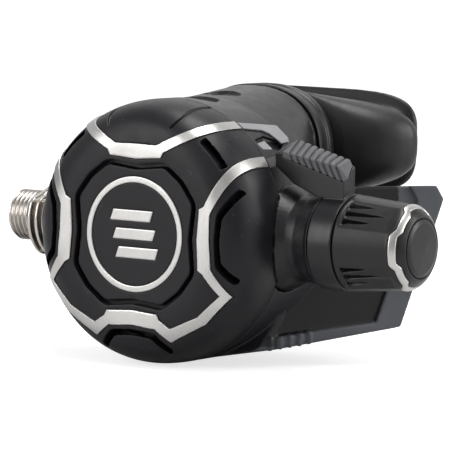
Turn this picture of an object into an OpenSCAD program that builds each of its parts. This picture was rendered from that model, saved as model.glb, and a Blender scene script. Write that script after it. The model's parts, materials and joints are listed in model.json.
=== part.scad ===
// Scuba second stage: a demand regulator with purge cover, adjusting knob, venturi lever and exhaust tee.
// Millimetres. The hose thread's end face is the origin, X runs along the valve barrel towards the knob,
// -Y is the purge side, +Y the diver's side and Z is up. Each piece is drawn with x = 0 on the cover's
// axis, and place() moves it into that frame.

/* [Overall] */
// Distance from the cover's axis to the end face of the hose thread
inlet_reach = 57.2; // [56:0.2:62]
// Outer radius of the round case and its cover
case_r = 36; // [35.4:0.2:37]
// Distance of the seam between case and cover in front of the barrel axis
seam = 7.7; // [7:0.1:8.6]
// Height of the cover from the seam to its flat front
cover_depth = 18.3; // [17.8:0.1:19.5]
// Wall of the plastic mouldings
wall = 2.4; // [2:0.1:2.6]
// Gap between pieces that only lie side by side
gap = 0.3; // [0.2:0.05:0.4]
// Radial clearance of pieces that turn or slide on each other
fit = 0.08; // [0.04:0.01:0.1]

/* [Case] */
// Distance that the round drum reaches behind the barrel axis
drum_back = 8; // [6:0.5:9]
// Distance of the exhaust wall behind the barrel axis
rear_wall = 14; // [13:0.5:16]
// Height of the level where the exhaust tee meets the case
tee_line = -10.4; // [-10.6:0.1:-10.2]
// Distance of the mouthpiece neck's front edge behind the barrel axis
neck_y = 31.7; // [30:0.1:34]
// Height of the neck's centre
neck_z = 19.7; // [19:0.1:20.4]
// Half width of the neck
neck_w = 21; // [20:0.1:22]
// Half height of the neck
neck_h = 18.7; // [18:0.1:19]
// Length of the spigot that carries the mouthpiece
spigot_l = 10; // [8:0.5:12]
// Radius of the round bosses at both ends of the barrel
boss_r = 12.9; // [12.6:0.1:13.4]
// Smallest radius of the waist in front of the lever collar
waist_r = 11.6; // [11.4:0.1:12]
// Distance of the hose side boss face from the cover axis
boss_left = 40.7; // [40:0.1:41.5]
// Distance of the knob side boss shoulder from the cover axis
boss_right = 46.2; // [45.5:0.1:47]
// Height of the diaphragm seat ring in front of the seam
seat_h = 6.5; // [6.3:0.1:6.9]
// Radius of each exhaust port in a case of the nominal size
port_r = 8.5; // [7.5:0.1:9]
// Distance of each exhaust port from the middle plane in a case of the nominal size
port_x = 13; // [12.5:0.5:14.5]
// Distance of the exhaust ports' centres above the lowest point of a case of the nominal size
port_rise = 17.5; // [16.5:0.1:18]

/* [Cover] */
// Radius at which the flat front starts to curve back
flat_r = 22; // [21:0.2:23]
// Depth of the channel that the trim lies in
channel = 0.9; // [0.6:0.1:1.2]
// Height of the trim above the cover's surface
trim_proud = 0.35; // [0.2:0.05:0.6]
// Width of the vent slots
vent_w = 1.6; // [1.4:0.1:1.8]

/* [Trim] */
// Radius of each trim arm's inner edge at its middle
arm_in = 20.3; // [20:0.1:20.6]
// Radial width of each trim arm at its middle
arm_w = 4.1; // [3.8:0.1:4.4]
// Half length of the thick part of an arm
arm_half = 8.2; // [7.8:0.1:8.6]
// Width of the thin strips
strip_w = 2.7; // [2.4:0.1:3]

/* [Purge button] */
// Half width of the button between its hollow sides
button_w = 17.4; // [17:0.1:17.7]
// Radius of the button's bulging corners
button_r = 20.4; // [20:0.1:20.6]
// Width of the groove round the button
groove = 1.4; // [1.1:0.1:1.6]
// Travel of the purge button
purge_travel = 3.2; // [2.4:0.1:3.2]
// Outer radius of the silver ring
ring_r = 15.6; // [15:0.1:16]
// Width of the silver ring
ring_w = 1.7; // [1.4:0.1:2]
// Radius of the button's stem
stem_r = 4.6; // [4:0.1:5]
// Radius of the purge spring's wide end to the middle of its wire
purge_spring_r = 8.6; // [8.4:0.1:9]
// Radius of the spring wire
wire_r = 0.45; // [0.4:0.05:0.5]

/* [Diaphragm] */
// Distance of the diaphragm's bead inside the edge of its seat
bead_inset = 0.6; // [0.4:0.1:1]
// Thickness of the bead
bead_t = 1.5; // [1.3:0.1:1.6]
// Thickness of the diaphragm's web
web_t = 0.8; // [0.6:0.1:0.9]
// Radius of the centre plate
plate_r = 13; // [12:0.5:15]
// Thickness of the centre plate
plate_t = 0.8; // [0.7:0.1:0.9]
// Thickness of the guard over the diaphragm
guard_t = 1.4; // [1.2:0.1:1.5]

/* [Valve] */
// Outer radius of the valve barrel
barrel_r = 7.6; // [7.4:0.1:7.7]
// Inner radius of the valve barrel
bore_r = 5.9; // [5.8:0.1:6]
// Distance of the orifice's sharp edge from the cover axis
orifice_x = 26.5; // [25.5:0.1:27.5]
// Distance of the demand lever's pivot from the cover axis
pivot_x = 16; // [15:0.5:18]
// Distance of the demand lever's pivot in front of the barrel axis
pivot_y = 6.2; // [6:0.1:6.5]
// Reach of the lever's feet behind their pivot
foot_reach = 4.2; // [3.8:0.1:4.4]
// Thickness of the lever's strip
lever_t = 1.1; // [0.9:0.1:1.2]
// Distance of the adjusting screw's inner end from the cover axis
screw_x = 36; // [34:0.5:38]
// Radius of the poppet's stem
poppet_r = 2; // [1.8:0.1:2.2]
// Radius of the poppet spring to the middle of its wire
poppet_spring_r = 4.4; // [4.2:0.1:4.6]

/* [Hose inlet] */
// Outer radius of the hose thread, nine sixteenths of an inch across
thread_r = 7.144; // [7.144:0.001:7.144]
// Radius of the heat exchanger's fins
fin_r = 11.3; // [10.8:0.1:11.8]
// Width of each fin
fin_w = 1.05; // [0.9:0.05:1.3]
// Distance from one fin to the next
fin_pitch = 2.45; // [2.3:0.05:2.6]
// Number of fins
fins = 3; // [2:1:3]
// Width across the wrench flats
wrench = 17; // [16.6:0.1:18]
// Radius of the bore that takes the hose's stem
stem_bore_r = 4.4; // [4:0.1:4.6]

/* [Adjusting knob] */
// Length of the knob's body
knob_l = 20; // [19.6:0.1:21]
// Largest radius of the knob, at its inner end
knob_r = 12.9; // [12.6:0.1:13.2]
// Radius of the knob's side where its end starts to round
knob_side_r = 11.5; // [11.3:0.1:11.7]
// Radius at which the rounded end stops
knob_end_r = 8.5; // [8.4:0.1:8.7]
// Radius of the round cap in the knob's end
cap_r = 7.8; // [7.4:0.1:8.2]
// Width of the wavy trim round the knob
wave_w = 1.9; // [1.6:0.1:2]
// Half the height of the trim's waves
wave_h = 0.6; // [0.4:0.05:0.8]
// Travel of the adjusting screw
screw_travel = 3; // [2:0.1:3.2]

/* [Venturi lever] */
// Width of the lever's collar
collar_w = 7.3; // [7:0.1:7.6]
// Height of the lever's ridge above the barrel axis at its inner end
ridge_z = 26.6; // [26:0.1:27]
// Height of the lever's ridge above the barrel axis at its outer end
ridge_end_z = 22.1; // [21.5:0.1:22.5]
// Number of ribs on the grip
ribs = 9; // [7:1:10]
// Width of the gaps between the ribs
rib_gap = 0.55; // [0.4:0.05:0.7]

/* [Exhaust tee] */
// Height of the tee's top edge above the barrel axis
tee_top = 13.1; // [12:0.1:14]
// Distance of the tee's outer corners from the middle plane
tee_w = 54.9; // [54:0.1:56]
// Depth of the hollow in each wing's front
hollow = 1.2; // [0.8:0.1:1.6]
// Wall of the tee
tee_wall = 2; // [1.6:0.1:2.2]
// Number of small ribs on each lip
lip_ribs = 5; // [3:1:6]

/* [Mouthpiece] */
// Length of the mouthpiece from the case's neck to the ends of its bite tabs
mouth_l = 48.5; // [46:0.5:50]
// Half width of the lip flange
flange_w = 33; // [32:0.2:34]
// Half height of the lip flange
flange_h = 13.4; // [13:0.1:14]
// Width of the clamp band
clamp_w = 7.4; // [6.5:0.1:8]
// Half width of the airway
airway_w = 12; // [11:0.5:13]
// Half height of the airway
airway_h = 7; // [6:0.5:8]

/* [Hidden] */
$fn = 64;
SMALL_FN = 32;

black = [0.11, 0.11, 0.12];
graphite = [0.2, 0.21, 0.22];
silver = [0.8, 0.8, 0.78];
steel = [0.7, 0.69, 0.67];
rubber = [0.07, 0.07, 0.08];
brass = [0.75, 0.66, 0.42];

eps = 0.01;
// Longer than any piece, for blocks that cut all that lies on one side
beyond = 3 * case_r;
// Planes along Y, counted from the front to the back
front_y = -(seam + cover_depth);
seam_y = -seam;
seat_y = seam_y - seat_h;
guard_back_y = seat_y - bead_t - 0.1;
guard_front_y = guard_back_y - guard_t;
flange_t = 1.8;
flange_front_y = front_y + wall + gap;
flange_back_y = flange_front_y + flange_t;
plate_back_y = seat_y + plate_t - 0.1;
lever_tip_y = plate_back_y + gap;
stem_end_y = seat_y - web_t - 2 * 0.1 - gap;

// Radii inside the case and cover
seat_r_out = case_r - wall - 0.6;
seat_r_in = seat_r_out - 2.5;
bead_r = seat_r_out - bead_inset;
cavity_r = case_r - 2 * wall + 0.3;
lower_r = case_r - tee_wall - 0.2;
// The nominal case is 36 across its radius
case_share = case_r / 36;
port_size = port_r * case_share;
port_side = port_x * case_share;
port_z = port_rise * case_share - case_r;
valve_lip = 1.5;
vane_r_in = barrel_r + fit;
vane_r = vane_r_in + 1.3;
vane_x = pivot_x + 5;
hub_r = vane_r + fit + 1.7;
collar_r = boss_r + 0.1;

// Planes along X
collar_x = boss_right + gap;
knob_x = collar_x + collar_w + gap;
knob_end_x = knob_x + knob_l;
barrel_end_x = knob_x + 6;
fin_x = -boss_left - 0.1;
thread_base_x = fin_x - (fins - 1) * fin_pitch - fin_w;
web_x = knob_x - gap - 0.8;
lever_tip_x = 0;

// ---------------------------------------------------------------- plain geometry

// A piece drawn about the cover axis, moved into the part's frame
module place() translate([inlet_reach, 0, 0]) children();

// An outline drawn as seen from the front, filled between two planes along Y
module between_y(y0, y1) translate([0, y1, 0]) rotate([90, 0, 0]) linear_extrude(y1 - y0) children();

// A round bar along Y
module rod_y(r, y0, y1, x = 0, z = 0) translate([x, y1, z]) rotate([90, 0, 0]) cylinder(r = r, h = y1 - y0);

// A round bar along X, on the barrel axis
module rod_x(r, x0, x1) translate([x0, 0, 0]) rotate([0, 90, 0]) cylinder(r = r, h = x1 - x0);

module tube_y(r_out, r_in, y0, y1) difference() {
    rod_y(r_out, y0, y1);
    rod_y(r_in, y0 - 1, y1 + 1);
}

module tube_x(r_out, r_in, x0, x1) difference() {
    rod_x(r_out, x0, x1);
    rod_x(r_in, x0 - 1, x1 + 1);
}

// A profile of [radius, x] points turned about the barrel axis
module turned_x(points) rotate([0, 90, 0]) rotate_extrude() polygon(points);

// A profile of [radius, distance in front of the seam] points turned about the cover axis
module turned_y(points) translate([0, seam_y, 0]) rotate([90, 0, 0]) rotate_extrude() polygon(points);

// A rubber ring of round section about the barrel axis
module o_ring(r, section, x) translate([x, 0, 0]) rotate([0, 90, 0])
    rotate_extrude() translate([r, 0]) circle(r = section, $fn = 24);

module mirrored() {
    children();
    mirror([1, 0, 0]) children();
}

function turned(p, a) = [p[0] * cos(a) - p[1] * sin(a), p[0] * sin(a) + p[1] * cos(a)];
function fourfold(pts) = [for (k = [0 : 3]) for (p = pts) turned(p, -90 * k)];
function flipped(pts) = [for (i = [len(pts) - 1 : -1 : 0]) [-pts[i][0], pts[i][1]]];
function backwards(pts) = [for (i = [len(pts) - 1 : -1 : 0]) pts[i]];
function inner_part(pts) = [for (i = [1 : len(pts) - 2]) pts[i]];
function unit(v) = v / norm(v);
function arc(r, a0, a1, n) = [for (i = [0 : n]) r * [cos(a0 + (a1 - a0) * i / n), sin(a0 + (a1 - a0) * i / n)]];

// The corners of a closed outline drawn as short curves that start at the given distance from each corner
function rounded(pts, d, n = 3) = [
    for (i = [0 : len(pts) - 1])
        let (
            p = pts[i], before = pts[(i + len(pts) - 1) % len(pts)], after = pts[(i + 1) % len(pts)],
            a = p + unit(before - p) * min(d, norm(before - p) * 0.45),
            b = p + unit(after - p) * min(d, norm(after - p) * 0.45)
        )
        for (k = [0 : n]) let (t = k / n) (1 - t) * (1 - t) * a + 2 * t * (1 - t) * p + t * t * b
];

// A clockwise outline moved outwards by d
function grown(pts, d) = [
    for (i = [0 : len(pts) - 1])
        let (
            u = unit(pts[i] - pts[(i + len(pts) - 1) % len(pts)]), v = unit(pts[(i + 1) % len(pts)] - pts[i]),
            m = [-u[1] - v[1], u[0] + v[0]]
        )
        pts[i] + m * d / (1 + u * v)
];

// An oval with flattened sides, of half width w and half height h
function oval(w, h, n = 40, power = 2.3) = [
    for (i = [0 : n - 1])
        let (c = cos(360 * i / n), s = sin(360 * i / n))
        [w * sign(c) * pow(abs(c), 2 / power), h * sign(s) * pow(abs(s), 2 / power)]
];

// ---------------------------------------------------------------- springs

// One unbroken wire wound round +Z from z = 0, from radius r0 to r1, with 8 rings of 6 sides a turn
module coil(r0, r1, wire, turns, length) {
    rings = round(turns * 8);
    sides = 6;
    rise = (length - 2 * wire) / turns;
    points = [
        for (i = [0 : rings]) for (k = [0 : sides - 1])
            let (a = 45 * i, b = 60 * k, q = r0 + (r1 - r0) * i / rings + wire * cos(b))
            [q * cos(a), q * sin(a), wire + rise * a / 360 + wire * sin(b)]
    ];
    skin = [
        for (i = [0 : rings - 1]) for (k = [0 : sides - 1])
            let (m = (k + 1) % sides, p = i * sides)
            each [[p + k, p + m, p + sides + k], [p + m, p + sides + m, p + sides + k]]
    ];
    last = rings * sides;
    ends = [
        for (k = [1 : sides - 2]) each [[0, k + 1, k], [last, last + k, last + k + 1]]
    ];
    echo(str("least gap between turns ", rise - 2 * wire));
    polyhedron(points, concat(skin, ends), convexity = 6);
}

// ---------------------------------------------------------------- the cover's curved form

dome_step = 6;
function dome_r(a, inset) = flat_r + (case_r - flat_r - inset) * pow(cos(a), 2 / 3);
function dome_h(a, inset) = (cover_depth - inset) * pow(sin(a), 2 / 3);

// The domed cover as a filled form, with its skin moved inwards by inset
module dome(inset) turned_y(concat(
    [[0, 0]],
    [for (a = [0 : dome_step : 90 - dome_step]) [dome_r(a, inset), dome_h(a, inset)]],
    [[flat_r, cover_depth - inset], [0, cover_depth - inset]]
));

// A drawing seen from the front, projected on to the layer of the cover between two insets
module on_dome(inset_out, inset_in) difference() {
    intersection() {
        dome(inset_out);
        between_y(front_y - 1, seam_y + 1) children();
    }
    dome(inset_in);
}

button_outline = rounded(fourfold([
    [0, button_w], [button_w * 0.52, button_w + 1],
    [button_r * sin(45), button_r * cos(45)], [button_w + 1, button_w * 0.52]
]), 1.2);

// One arm of the trim, seen with its middle at the top. Each is half of an edge, from the middle outwards.
arm_out = arm_in + arm_w;
rim_dir = [cos(27), sin(27)];
arm_inner = [[0, arm_in], [arm_half, arm_in + 0.6], [arm_half + 0.8, arm_in + 2.1]];
rim_inner = arm_inner[2] + rim_dir * 17;
rim_outer = arm_inner[2] + strip_w * [-rim_dir[1], rim_dir[0]] + rim_dir * 17;
rim_shoulder = arm_inner[2] + strip_w * [-rim_dir[1], rim_dir[0]] - rim_dir * 1.2;
upper_inner = concat(arm_inner, [rim_inner]);
upper_outer = [rim_outer, rim_shoulder, [0, arm_out]];
lobe_side = [arm_half + 6.4, arm_in + 6.85];
lobe_low = [arm_half + 4.1, arm_in + 4.2];
lobe_mid = [20.6, 20.7];
low_shoulder = [arm_half - 0.6, arm_out + 0.6];

upper_half = backwards(concat(upper_inner, upper_outer));
upper_trim_outline = concat(upper_half, inner_part(flipped(upper_half)));

// The lower trim, right half, clockwise from the middle of its lower arm's inner edge
function below(p) = [p[0], -p[1]];
lower_inner_half = concat(
    [for (p = arm_inner) below(p)],
    [below(lobe_low), below(lobe_mid), [lobe_side[1], -lobe_side[0]]],
    [for (i = [2 : -1 : 0]) [arm_inner[i][1], -arm_inner[i][0]]],
    [for (i = [1 : 3]) [upper_inner[i][1], upper_inner[i][0]]]
);
lower_outer_half = concat(
    [[rim_outer[1], rim_outer[0]], [rim_shoulder[1], rim_shoulder[0]], [arm_out, 0]],
    [[low_shoulder[1], -low_shoulder[0]], [lobe_side[1] + strip_w, -lobe_side[0] - 0.1]],
    [below(lobe_mid * 1.093), below([lobe_low[0] - 0.2, lobe_low[1] + 3.8]), below(low_shoulder), [0, -arm_out]]
);
lower_half = concat(lower_inner_half, lower_outer_half);
lower_trim_outline = concat(lower_half, inner_part(flipped(lower_half)));

side_vent_r = case_r - 4.4;

// A vent slot that follows the outside of an arm, seen with its middle at the top
function vent(right, left) = let (
    inner = [[-left, arm_out + 6], [-low_shoulder[0] + 0.6, arm_out + 1.7], [0, arm_out + 1.2],
        [low_shoulder[0] - 0.6, arm_out + 1.7], [right, arm_out + 6]],
    outer = [[right - 1.2, arm_out + 6 + vent_w], [low_shoulder[0] - 1.8, arm_out + 1.7 + vent_w],
        [0, arm_out + 1.2 + vent_w], [-low_shoulder[0] + 1.8, arm_out + 1.7 + vent_w], [-left + 1.2, arm_out + 6 + vent_w]]
) concat(inner, outer);

// Vents: one behind each side and lower arm, and a curved one on each upper lobe
module vents() {
    polygon(rounded([for (p = vent(11.6, 14)) turned(p, -90)], 0.8));
    polygon(rounded([for (p = vent(14, 11.6)) turned(p, 90)], 0.8));
    polygon(rounded([for (p = vent(11.6, 11.6)) turned(p, 180)], 0.8));
    for (a = [45, 135]) polygon(concat(arc(side_vent_r, a - 9, a + 9, 6), arc(side_vent_r + vent_w, a + 9, a - 9, 6)));
}

// The two creases beside the smooth pad above the upper arm
crease_w = 1.1;
crease_depth = 0.7;
module pad_creases() mirrored() polygon(rounded([
    [9.3, 28.6], [9.3 + crease_w, 28.4], [11.2 + crease_w, 31.4], [11 + crease_w, case_r + 1], [11, case_r + 1], [11.2, 31.6]
], 0.8));

module front_cover() color(black) place() difference() {
    dome(0);
    dome(wall);
    between_y(front_y - 1, seam_y) polygon(grown(button_outline, groove));
    on_dome(-1, channel) {
        polygon(grown(upper_trim_outline, 0.05));
        polygon(lower_trim_outline);
    }
    between_y(front_y - 1, seam_y - 5) vents();
    on_dome(-1, crease_depth) pad_creases();
}

module cover_trim_upper() color(silver) place() on_dome(-trim_proud, channel - 0.05) polygon(upper_trim_outline);

module cover_trim_lower() color(silver) place() on_dome(-trim_proud, channel - 0.05)
    polygon(grown(lower_trim_outline, -0.05));

// ---------------------------------------------------------------- purge button

ring_seat = 0.8;
stop_r = stem_r + 0.6;

// The stem works the diaphragm, and the low collar on it stops at the guard
module purge_button() color(black) place() difference() {
    union() {
        between_y(front_y + 0.2, flange_back_y) polygon(button_outline);
        between_y(flange_front_y, flange_back_y) polygon(grown(button_outline, groove + 1.2));
        rod_y(stem_r, flange_back_y - eps, stem_end_y);
        rod_y(stop_r, flange_back_y - eps, guard_front_y - purge_travel - 0.1);
    }
    tube_y(ring_r, ring_r - ring_w, front_y - 1, front_y + 0.2 + ring_seat);
    between_y(front_y - 1, front_y + 0.2 + ring_seat) badge_outline();
}

module purge_ring() color(silver) place()
    tube_y(ring_r - 0.02, ring_r - ring_w + 0.02, front_y, front_y + 0.2 + ring_seat);

// Three plain leaning bars
module badge_outline() for (i = [-1 : 1]) translate([0, 5 * i])
    polygon([[-7 - i, -1.5], [6 - i, -1.5], [7 - i, 1.5], [-6 - i, 1.5]]);

module purge_badge() color(silver) place() between_y(front_y, front_y + 0.2 + ring_seat) badge_outline();

module purge_spring() color(steel) place() translate([0, guard_front_y, 0]) rotate([90, 0, 0])
    coil(purge_spring_r, purge_spring_r - 2.2, wire_r, 2.25, guard_front_y - flange_back_y);

// ---------------------------------------------------------------- diaphragm

module diaphragm_guard() color(graphite) place() difference() {
    union() {
        tube_y(bead_r - 0.2, bead_r - 4, guard_front_y, guard_back_y);
        tube_y(purge_spring_r + 2.4, stem_r + 0.2, guard_front_y, guard_back_y);
        for (a = [0 : 45 : 135]) rotate([0, a, 0]) between_y(guard_front_y, guard_back_y)
            square([2 * bead_r - 4, 3], center = true);
    }
    rod_y(stem_r + 0.2, guard_front_y - 1, guard_back_y + 1);
}

// Points of the diaphragm's section, from its middle to its bead
module diaphragm() color(rubber) place() turned_y([
    [0, seat_h + 0.2], [plate_r + 4, seat_h + 0.2], [plate_r + 6.5, seat_h - 1.6], [plate_r + 9, seat_h - 1.6],
    [plate_r + 11.5, seat_h + 0.2], [seat_r_in - 0.6, seat_h + 0.2], [seat_r_in - 0.2, seat_h],
    [bead_r, seat_h], [bead_r, seat_h + bead_t], [seat_r_in - 0.2, seat_h + bead_t],
    [seat_r_in - 0.6, seat_h + 0.2 + web_t], [plate_r + 11.5, seat_h + 0.2 + web_t],
    [plate_r + 9, seat_h - 1.6 + web_t], [plate_r + 6.5, seat_h - 1.6 + web_t],
    [plate_r + 4, seat_h + 0.2 + web_t], [0, seat_h + 0.2 + web_t]
]);

module diaphragm_plate() color(steel) place() rod_y(plate_r, plate_back_y - plate_t, plate_back_y);

// ---------------------------------------------------------------- case

// The part of a disc that lies above the tee's line
module upper_disc(r) difference() {
    circle(r = r);
    translate([-2 * r, -2 * r]) square([4 * r, 2 * r + tee_line + (case_r - r)]);
}

// The blend from the round drum to the oval neck, with its skin moved inwards by inset
module shoulder(inset) hull() {
    between_y(drum_back - 1, drum_back) upper_disc(case_r - inset, $fn = 48);
    between_y(neck_y - 1, neck_y) translate([0, neck_z]) polygon(oval(neck_w - inset, neck_h - inset));
}

left_boss = [[0, -boss_left], [boss_r - 0.5, -boss_left], [boss_r, -boss_left + 0.5], [boss_r + 0.6, -36], [boss_r + 1.6, -30], [0, -30]];
right_boss = [
    [0, 28], [boss_r + 2, 28], [boss_r + 1.4, 34], [boss_r, 36.5], [waist_r + 0.2, 38.5], [waist_r, 41],
    [waist_r + 0.3, 43], [boss_r - 0.6, 45.2], [boss_r, boss_right], [hub_r, boss_right], [hub_r, web_x - gap], [0, web_x - gap]
];

// The outside of the case, without its seat ring
module case_form(grow) {
    intersection() {
        rod_y(case_r + grow, seam_y, drum_back);
        translate([-beyond, -beyond, tee_line - grow]) cube(2 * beyond);
    }
    rod_y(lower_r + grow, seam_y, rear_wall + grow);
    shoulder(-grow);
}

// Distance of the spigot's skin inside the neck's
spigot_in = 3.4;

// An exhaust port's six openings, between the spokes and hub that the valve lies on and is pulled into
port_hole_r = 1.6;
module exhaust_port(x) {
    y0 = rear_wall - 2 * wall;
    y1 = rear_wall + 1;
    difference() {
        rod_y(port_size, y0, y1, x, port_z);
        rod_y(port_hole_r + 1, y0 - 1, y1 + 1, x, port_z);
        for (a = [0, 60, 120]) translate([x, 0, port_z]) rotate([0, a, 0])
            between_y(y0 - 1, y1 + 1) square([2 * port_size + 1, 1.6], center = true);
    }
    rod_y(port_hole_r, y0, y1, x, port_z);
}

module case() color(black) place() difference() {
    union() {
        difference() {
            union() {
                case_form(0);
                difference() {
                    union() {
                        turned_x(left_boss);
                        turned_x(right_boss);
                    }
                    dome(-gap);
                }
            }
            rod_y(cavity_r, seam_y - 1, rear_wall - wall);
            shoulder(wall);
            for (s = [-1, 1]) exhaust_port(s * port_side);
        }
        tube_y(seat_r_out, seat_r_in, seat_y, seam_y + 3);
        difference() {
            union() {
                between_y(neck_y - wall, neck_y) translate([0, neck_z]) polygon(oval(neck_w - 0.5, neck_h - 0.5));
                between_y(neck_y - wall, neck_y + spigot_l) translate([0, neck_z])
                    polygon(oval(neck_w - spigot_in, neck_h - spigot_in));
            }
            between_y(neck_y - 2 * wall, neck_y + spigot_l + 1) translate([0, neck_z])
                polygon(oval(neck_w - spigot_in - wall, neck_h - spigot_in - wall));
        }
    }
    rod_x(barrel_r + fit, -boss_left - 1, -20);
    rod_x(vane_r + fit, vane_x - 1, web_x + 1);
    window_frame() polygon(window_outline);
    top_recesses();
}

// Two shallow leaf-shaped recesses on the case's top, drawn from above with x across and y to the back
recess_depth = 0.8;
module top_recesses() intersection() {
    translate([0, 0, case_r - 4]) linear_extrude(10) {
        polygon(rounded([[-8.4, -0.4], [-6.6, -3], [6.6, -3], [8.4, -0.4], [6.2, 4.6], [0, 5.8], [-6.2, 4.6]], 1.2));
        polygon(rounded([[-6.4, 13.6], [0, 9.4], [6.4, 13.6], [5.4, 17], [0, 19.4], [-5.4, 17]], 2));
    }
    difference() {
        case_form(1);
        case_form(-recess_depth);
    }
}

// A drawing on the case's shoulder in front of the venturi lever, with u round the case and v towards the back
shoulder_a = 47;
module on_shoulder(h0, h1) rotate([0, -shoulder_a, 0]) translate([h0, 0, 0]) rotate([0, 90, 0]) rotate([0, 0, 90])
    linear_extrude(h1 - h0) children();

window_outline = [[-6, -0.4], [-0.2, 0.8], [6.6, -2], [2.4, -4.6], [-6, -3.8]];
module window_frame() on_shoulder(case_r - 1.2, case_r + 2) children();

case_trim_outline = [
    [seam_y + gap, 6.1], [9.1, 3.9], [9.6, -1], [8.6, -2.3], [4.4, -2.6], [2.4, 1], [0.3, 2.5], [seam_y + gap, 3.6]
];
block_outline = [[seam_y + gap, -7.2], [-0.3, -6.4], [-2, -9.3], [seam_y + gap, -9.8]];

module shoulder_inlay(outline, height) intersection() {
    on_shoulder(case_r - 6, case_r + 4) polygon(outline);
    difference() {
        case_form(height);
        case_form(0.02);
    }
}

module case_trim() color(steel) place() shoulder_inlay(case_trim_outline, 0.5);

module trim_block() color(graphite) place() shoulder_inlay(block_outline, 0.5);

module window_marker() color(steel) place() on_shoulder(case_r - 1.2, case_r - 0.5)
    polygon([[-5.4, -1.4], [-1, -0.6], [-0.4, -3.9], [-4.8, -3.6]]);

// ---------------------------------------------------------------- barrel and valve

// The lever's window and the outlet that lets air into the case
module valve_barrel() color(brass) place() difference() {
    tube_x(barrel_r, bore_r, -boss_left + 0.2, barrel_end_x);
    translate([pivot_x - 2.6, -barrel_r - 1, -5.2]) cube([6.4, barrel_r - 1.6, 10.4]);
    translate([-20, 2, -3]) cube([12, barrel_r, 6]);
    rod_x(bore_r + 1, -boss_left - 1, -boss_left + 1.2);
}

module inlet_fitting() color(steel) place() difference() {
    union() {
        turned_x([
            [0, -inlet_reach], [thread_r - 0.3, -inlet_reach], [thread_r, -inlet_reach + 0.3],
            [thread_r, thread_base_x], [0, thread_base_x]
        ]);
        intersection() {
            union() {
                rod_x(fin_r - 3.2, thread_base_x, fin_x);
                for (i = [0 : fins - 1]) rod_x(fin_r, fin_x - fin_w - i * fin_pitch, fin_x - i * fin_pitch);
            }
            rotate([20, 0, 0]) translate([-inlet_reach, -fin_r - 1, -wrench / 2])
                cube([inlet_reach, 2 * fin_r + 2, wrench]);
        }
        rod_x(bore_r - 0.05, fin_x - eps, -boss_left + 5.5);
    }
    rod_x(stem_bore_r, -inlet_reach - 1, -inlet_reach + 8);
    rod_x(2.2, -inlet_reach, -boss_left + 6);
}

module inlet_o_ring() color(rubber) place() o_ring(bore_r + 0.45, 0.42, -boss_left + 0.7);

module orifice() color(steel) place() difference() {
    turned_x([
        [0, -orifice_x - 8], [bore_r - 0.05, -orifice_x - 8], [bore_r - 0.05, -orifice_x - 6.6],
        [bore_r - 1, -orifice_x - 6.6], [bore_r - 1, -orifice_x - 5], [bore_r - 0.05, -orifice_x - 5],
        [bore_r - 0.05, -orifice_x - 3], [3.6, -orifice_x - 1.6], [2.9, -orifice_x], [0, -orifice_x]
    ]);
    rod_x(2.4, -orifice_x - 9, -orifice_x + 1);
}

module orifice_o_ring() color(rubber) place() o_ring(bore_r - 0.5, 0.42, -orifice_x - 5.8);

seat_gap = 0.1;
head_x = -orifice_x + seat_gap;
foot_t = 1.6;
washer_x = pivot_x + foot_t / 2 + 0.12;

module valve_seat() color(rubber) place() rod_x(3.5, head_x, head_x + 1.9);

// A fluted head that holds the seat, and a stem that the lever's feet straddle
module poppet() color(black) place() difference() {
    union() {
        rod_x(bore_r - fit, head_x + 0.3, head_x + 9);
        rod_x(poppet_r, head_x + 8, washer_x + 6);
    }
    rod_x(3.52, head_x - 1, head_x + 1.92);
    for (a = [45 : 90 : 315]) rotate([a, 0, 0]) translate([head_x - 1, 0, bore_r]) rotate([0, 90, 0]) cylinder(r = 2, h = 12);
}

module lever_washer() color(steel) place() tube_x(bore_r - 0.5, poppet_r + 0.03, washer_x, washer_x + 0.8);

// A six-sided nut
module lever_locknut() color(steel) place() translate([washer_x + 0.82, 0, 0]) rotate([0, 90, 0]) difference() {
    cylinder(r = 4.2, h = 2.6, $fn = 6);
    translate([0, 0, -1]) cylinder(r = poppet_r + 0.03, h = 5);
}

spring_x0 = washer_x + 3.5;
poppet_spring_l = screw_x - spring_x0 - 0.1;
module poppet_spring() color(steel) place() translate([spring_x0, 0, 0]) rotate([0, 90, 0])
    coil(poppet_spring_r, poppet_spring_r, wire_r, 7, poppet_spring_l);

// A strip that slopes up to its tip, with two feet that reach through the barrel's window and round ears
// on which it rocks
foot_z = 3.1;
foot_w = 1.3;
ear_r = 1.3;
lever_w = 6;
lever_root_y = -barrel_r - lever_t - 1.2;
lever_outline = [
    [lever_tip_x - 2, lever_tip_y + 0.5], [lever_tip_x - 1, lever_tip_y], [lever_tip_x, lever_tip_y],
    [pivot_x - foot_t / 2, lever_root_y], [pivot_x + foot_t / 2, lever_root_y],
    [pivot_x + foot_t / 2, lever_root_y + lever_t], [pivot_x - foot_t / 2, lever_root_y + lever_t],
    [lever_tip_x, lever_tip_y + lever_t], [lever_tip_x - 2, lever_tip_y + lever_t + 0.3]
];
module demand_lever() color(steel) place() {
    translate([0, 0, -lever_w / 2]) linear_extrude(lever_w) polygon(lever_outline);
    translate([pivot_x - foot_t / 2, lever_root_y, -foot_z - foot_w]) cube([foot_t, lever_t, 2 * (foot_z + foot_w)]);
    for (z = [foot_z, -foot_z - foot_w]) {
        translate([pivot_x - foot_t / 2, lever_root_y, z]) cube([foot_t, -lever_root_y - pivot_y + foot_reach, foot_w]);
        translate([pivot_x, -pivot_y, z]) cylinder(r = ear_r, h = foot_w, $fn = SMALL_FN);
    }
}

// ---------------------------------------------------------------- adjusting knob

drive_r = 2.6;
pocket_r = 3.8;
pocket_l = 10;
screw_head_t = 1.4;
shank_r = 1.5;
shank_l = 6;
cap_depth = 1.4;
drive_end_x = knob_end_x - cap_depth - screw_travel - screw_head_t - 0.8;

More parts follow.
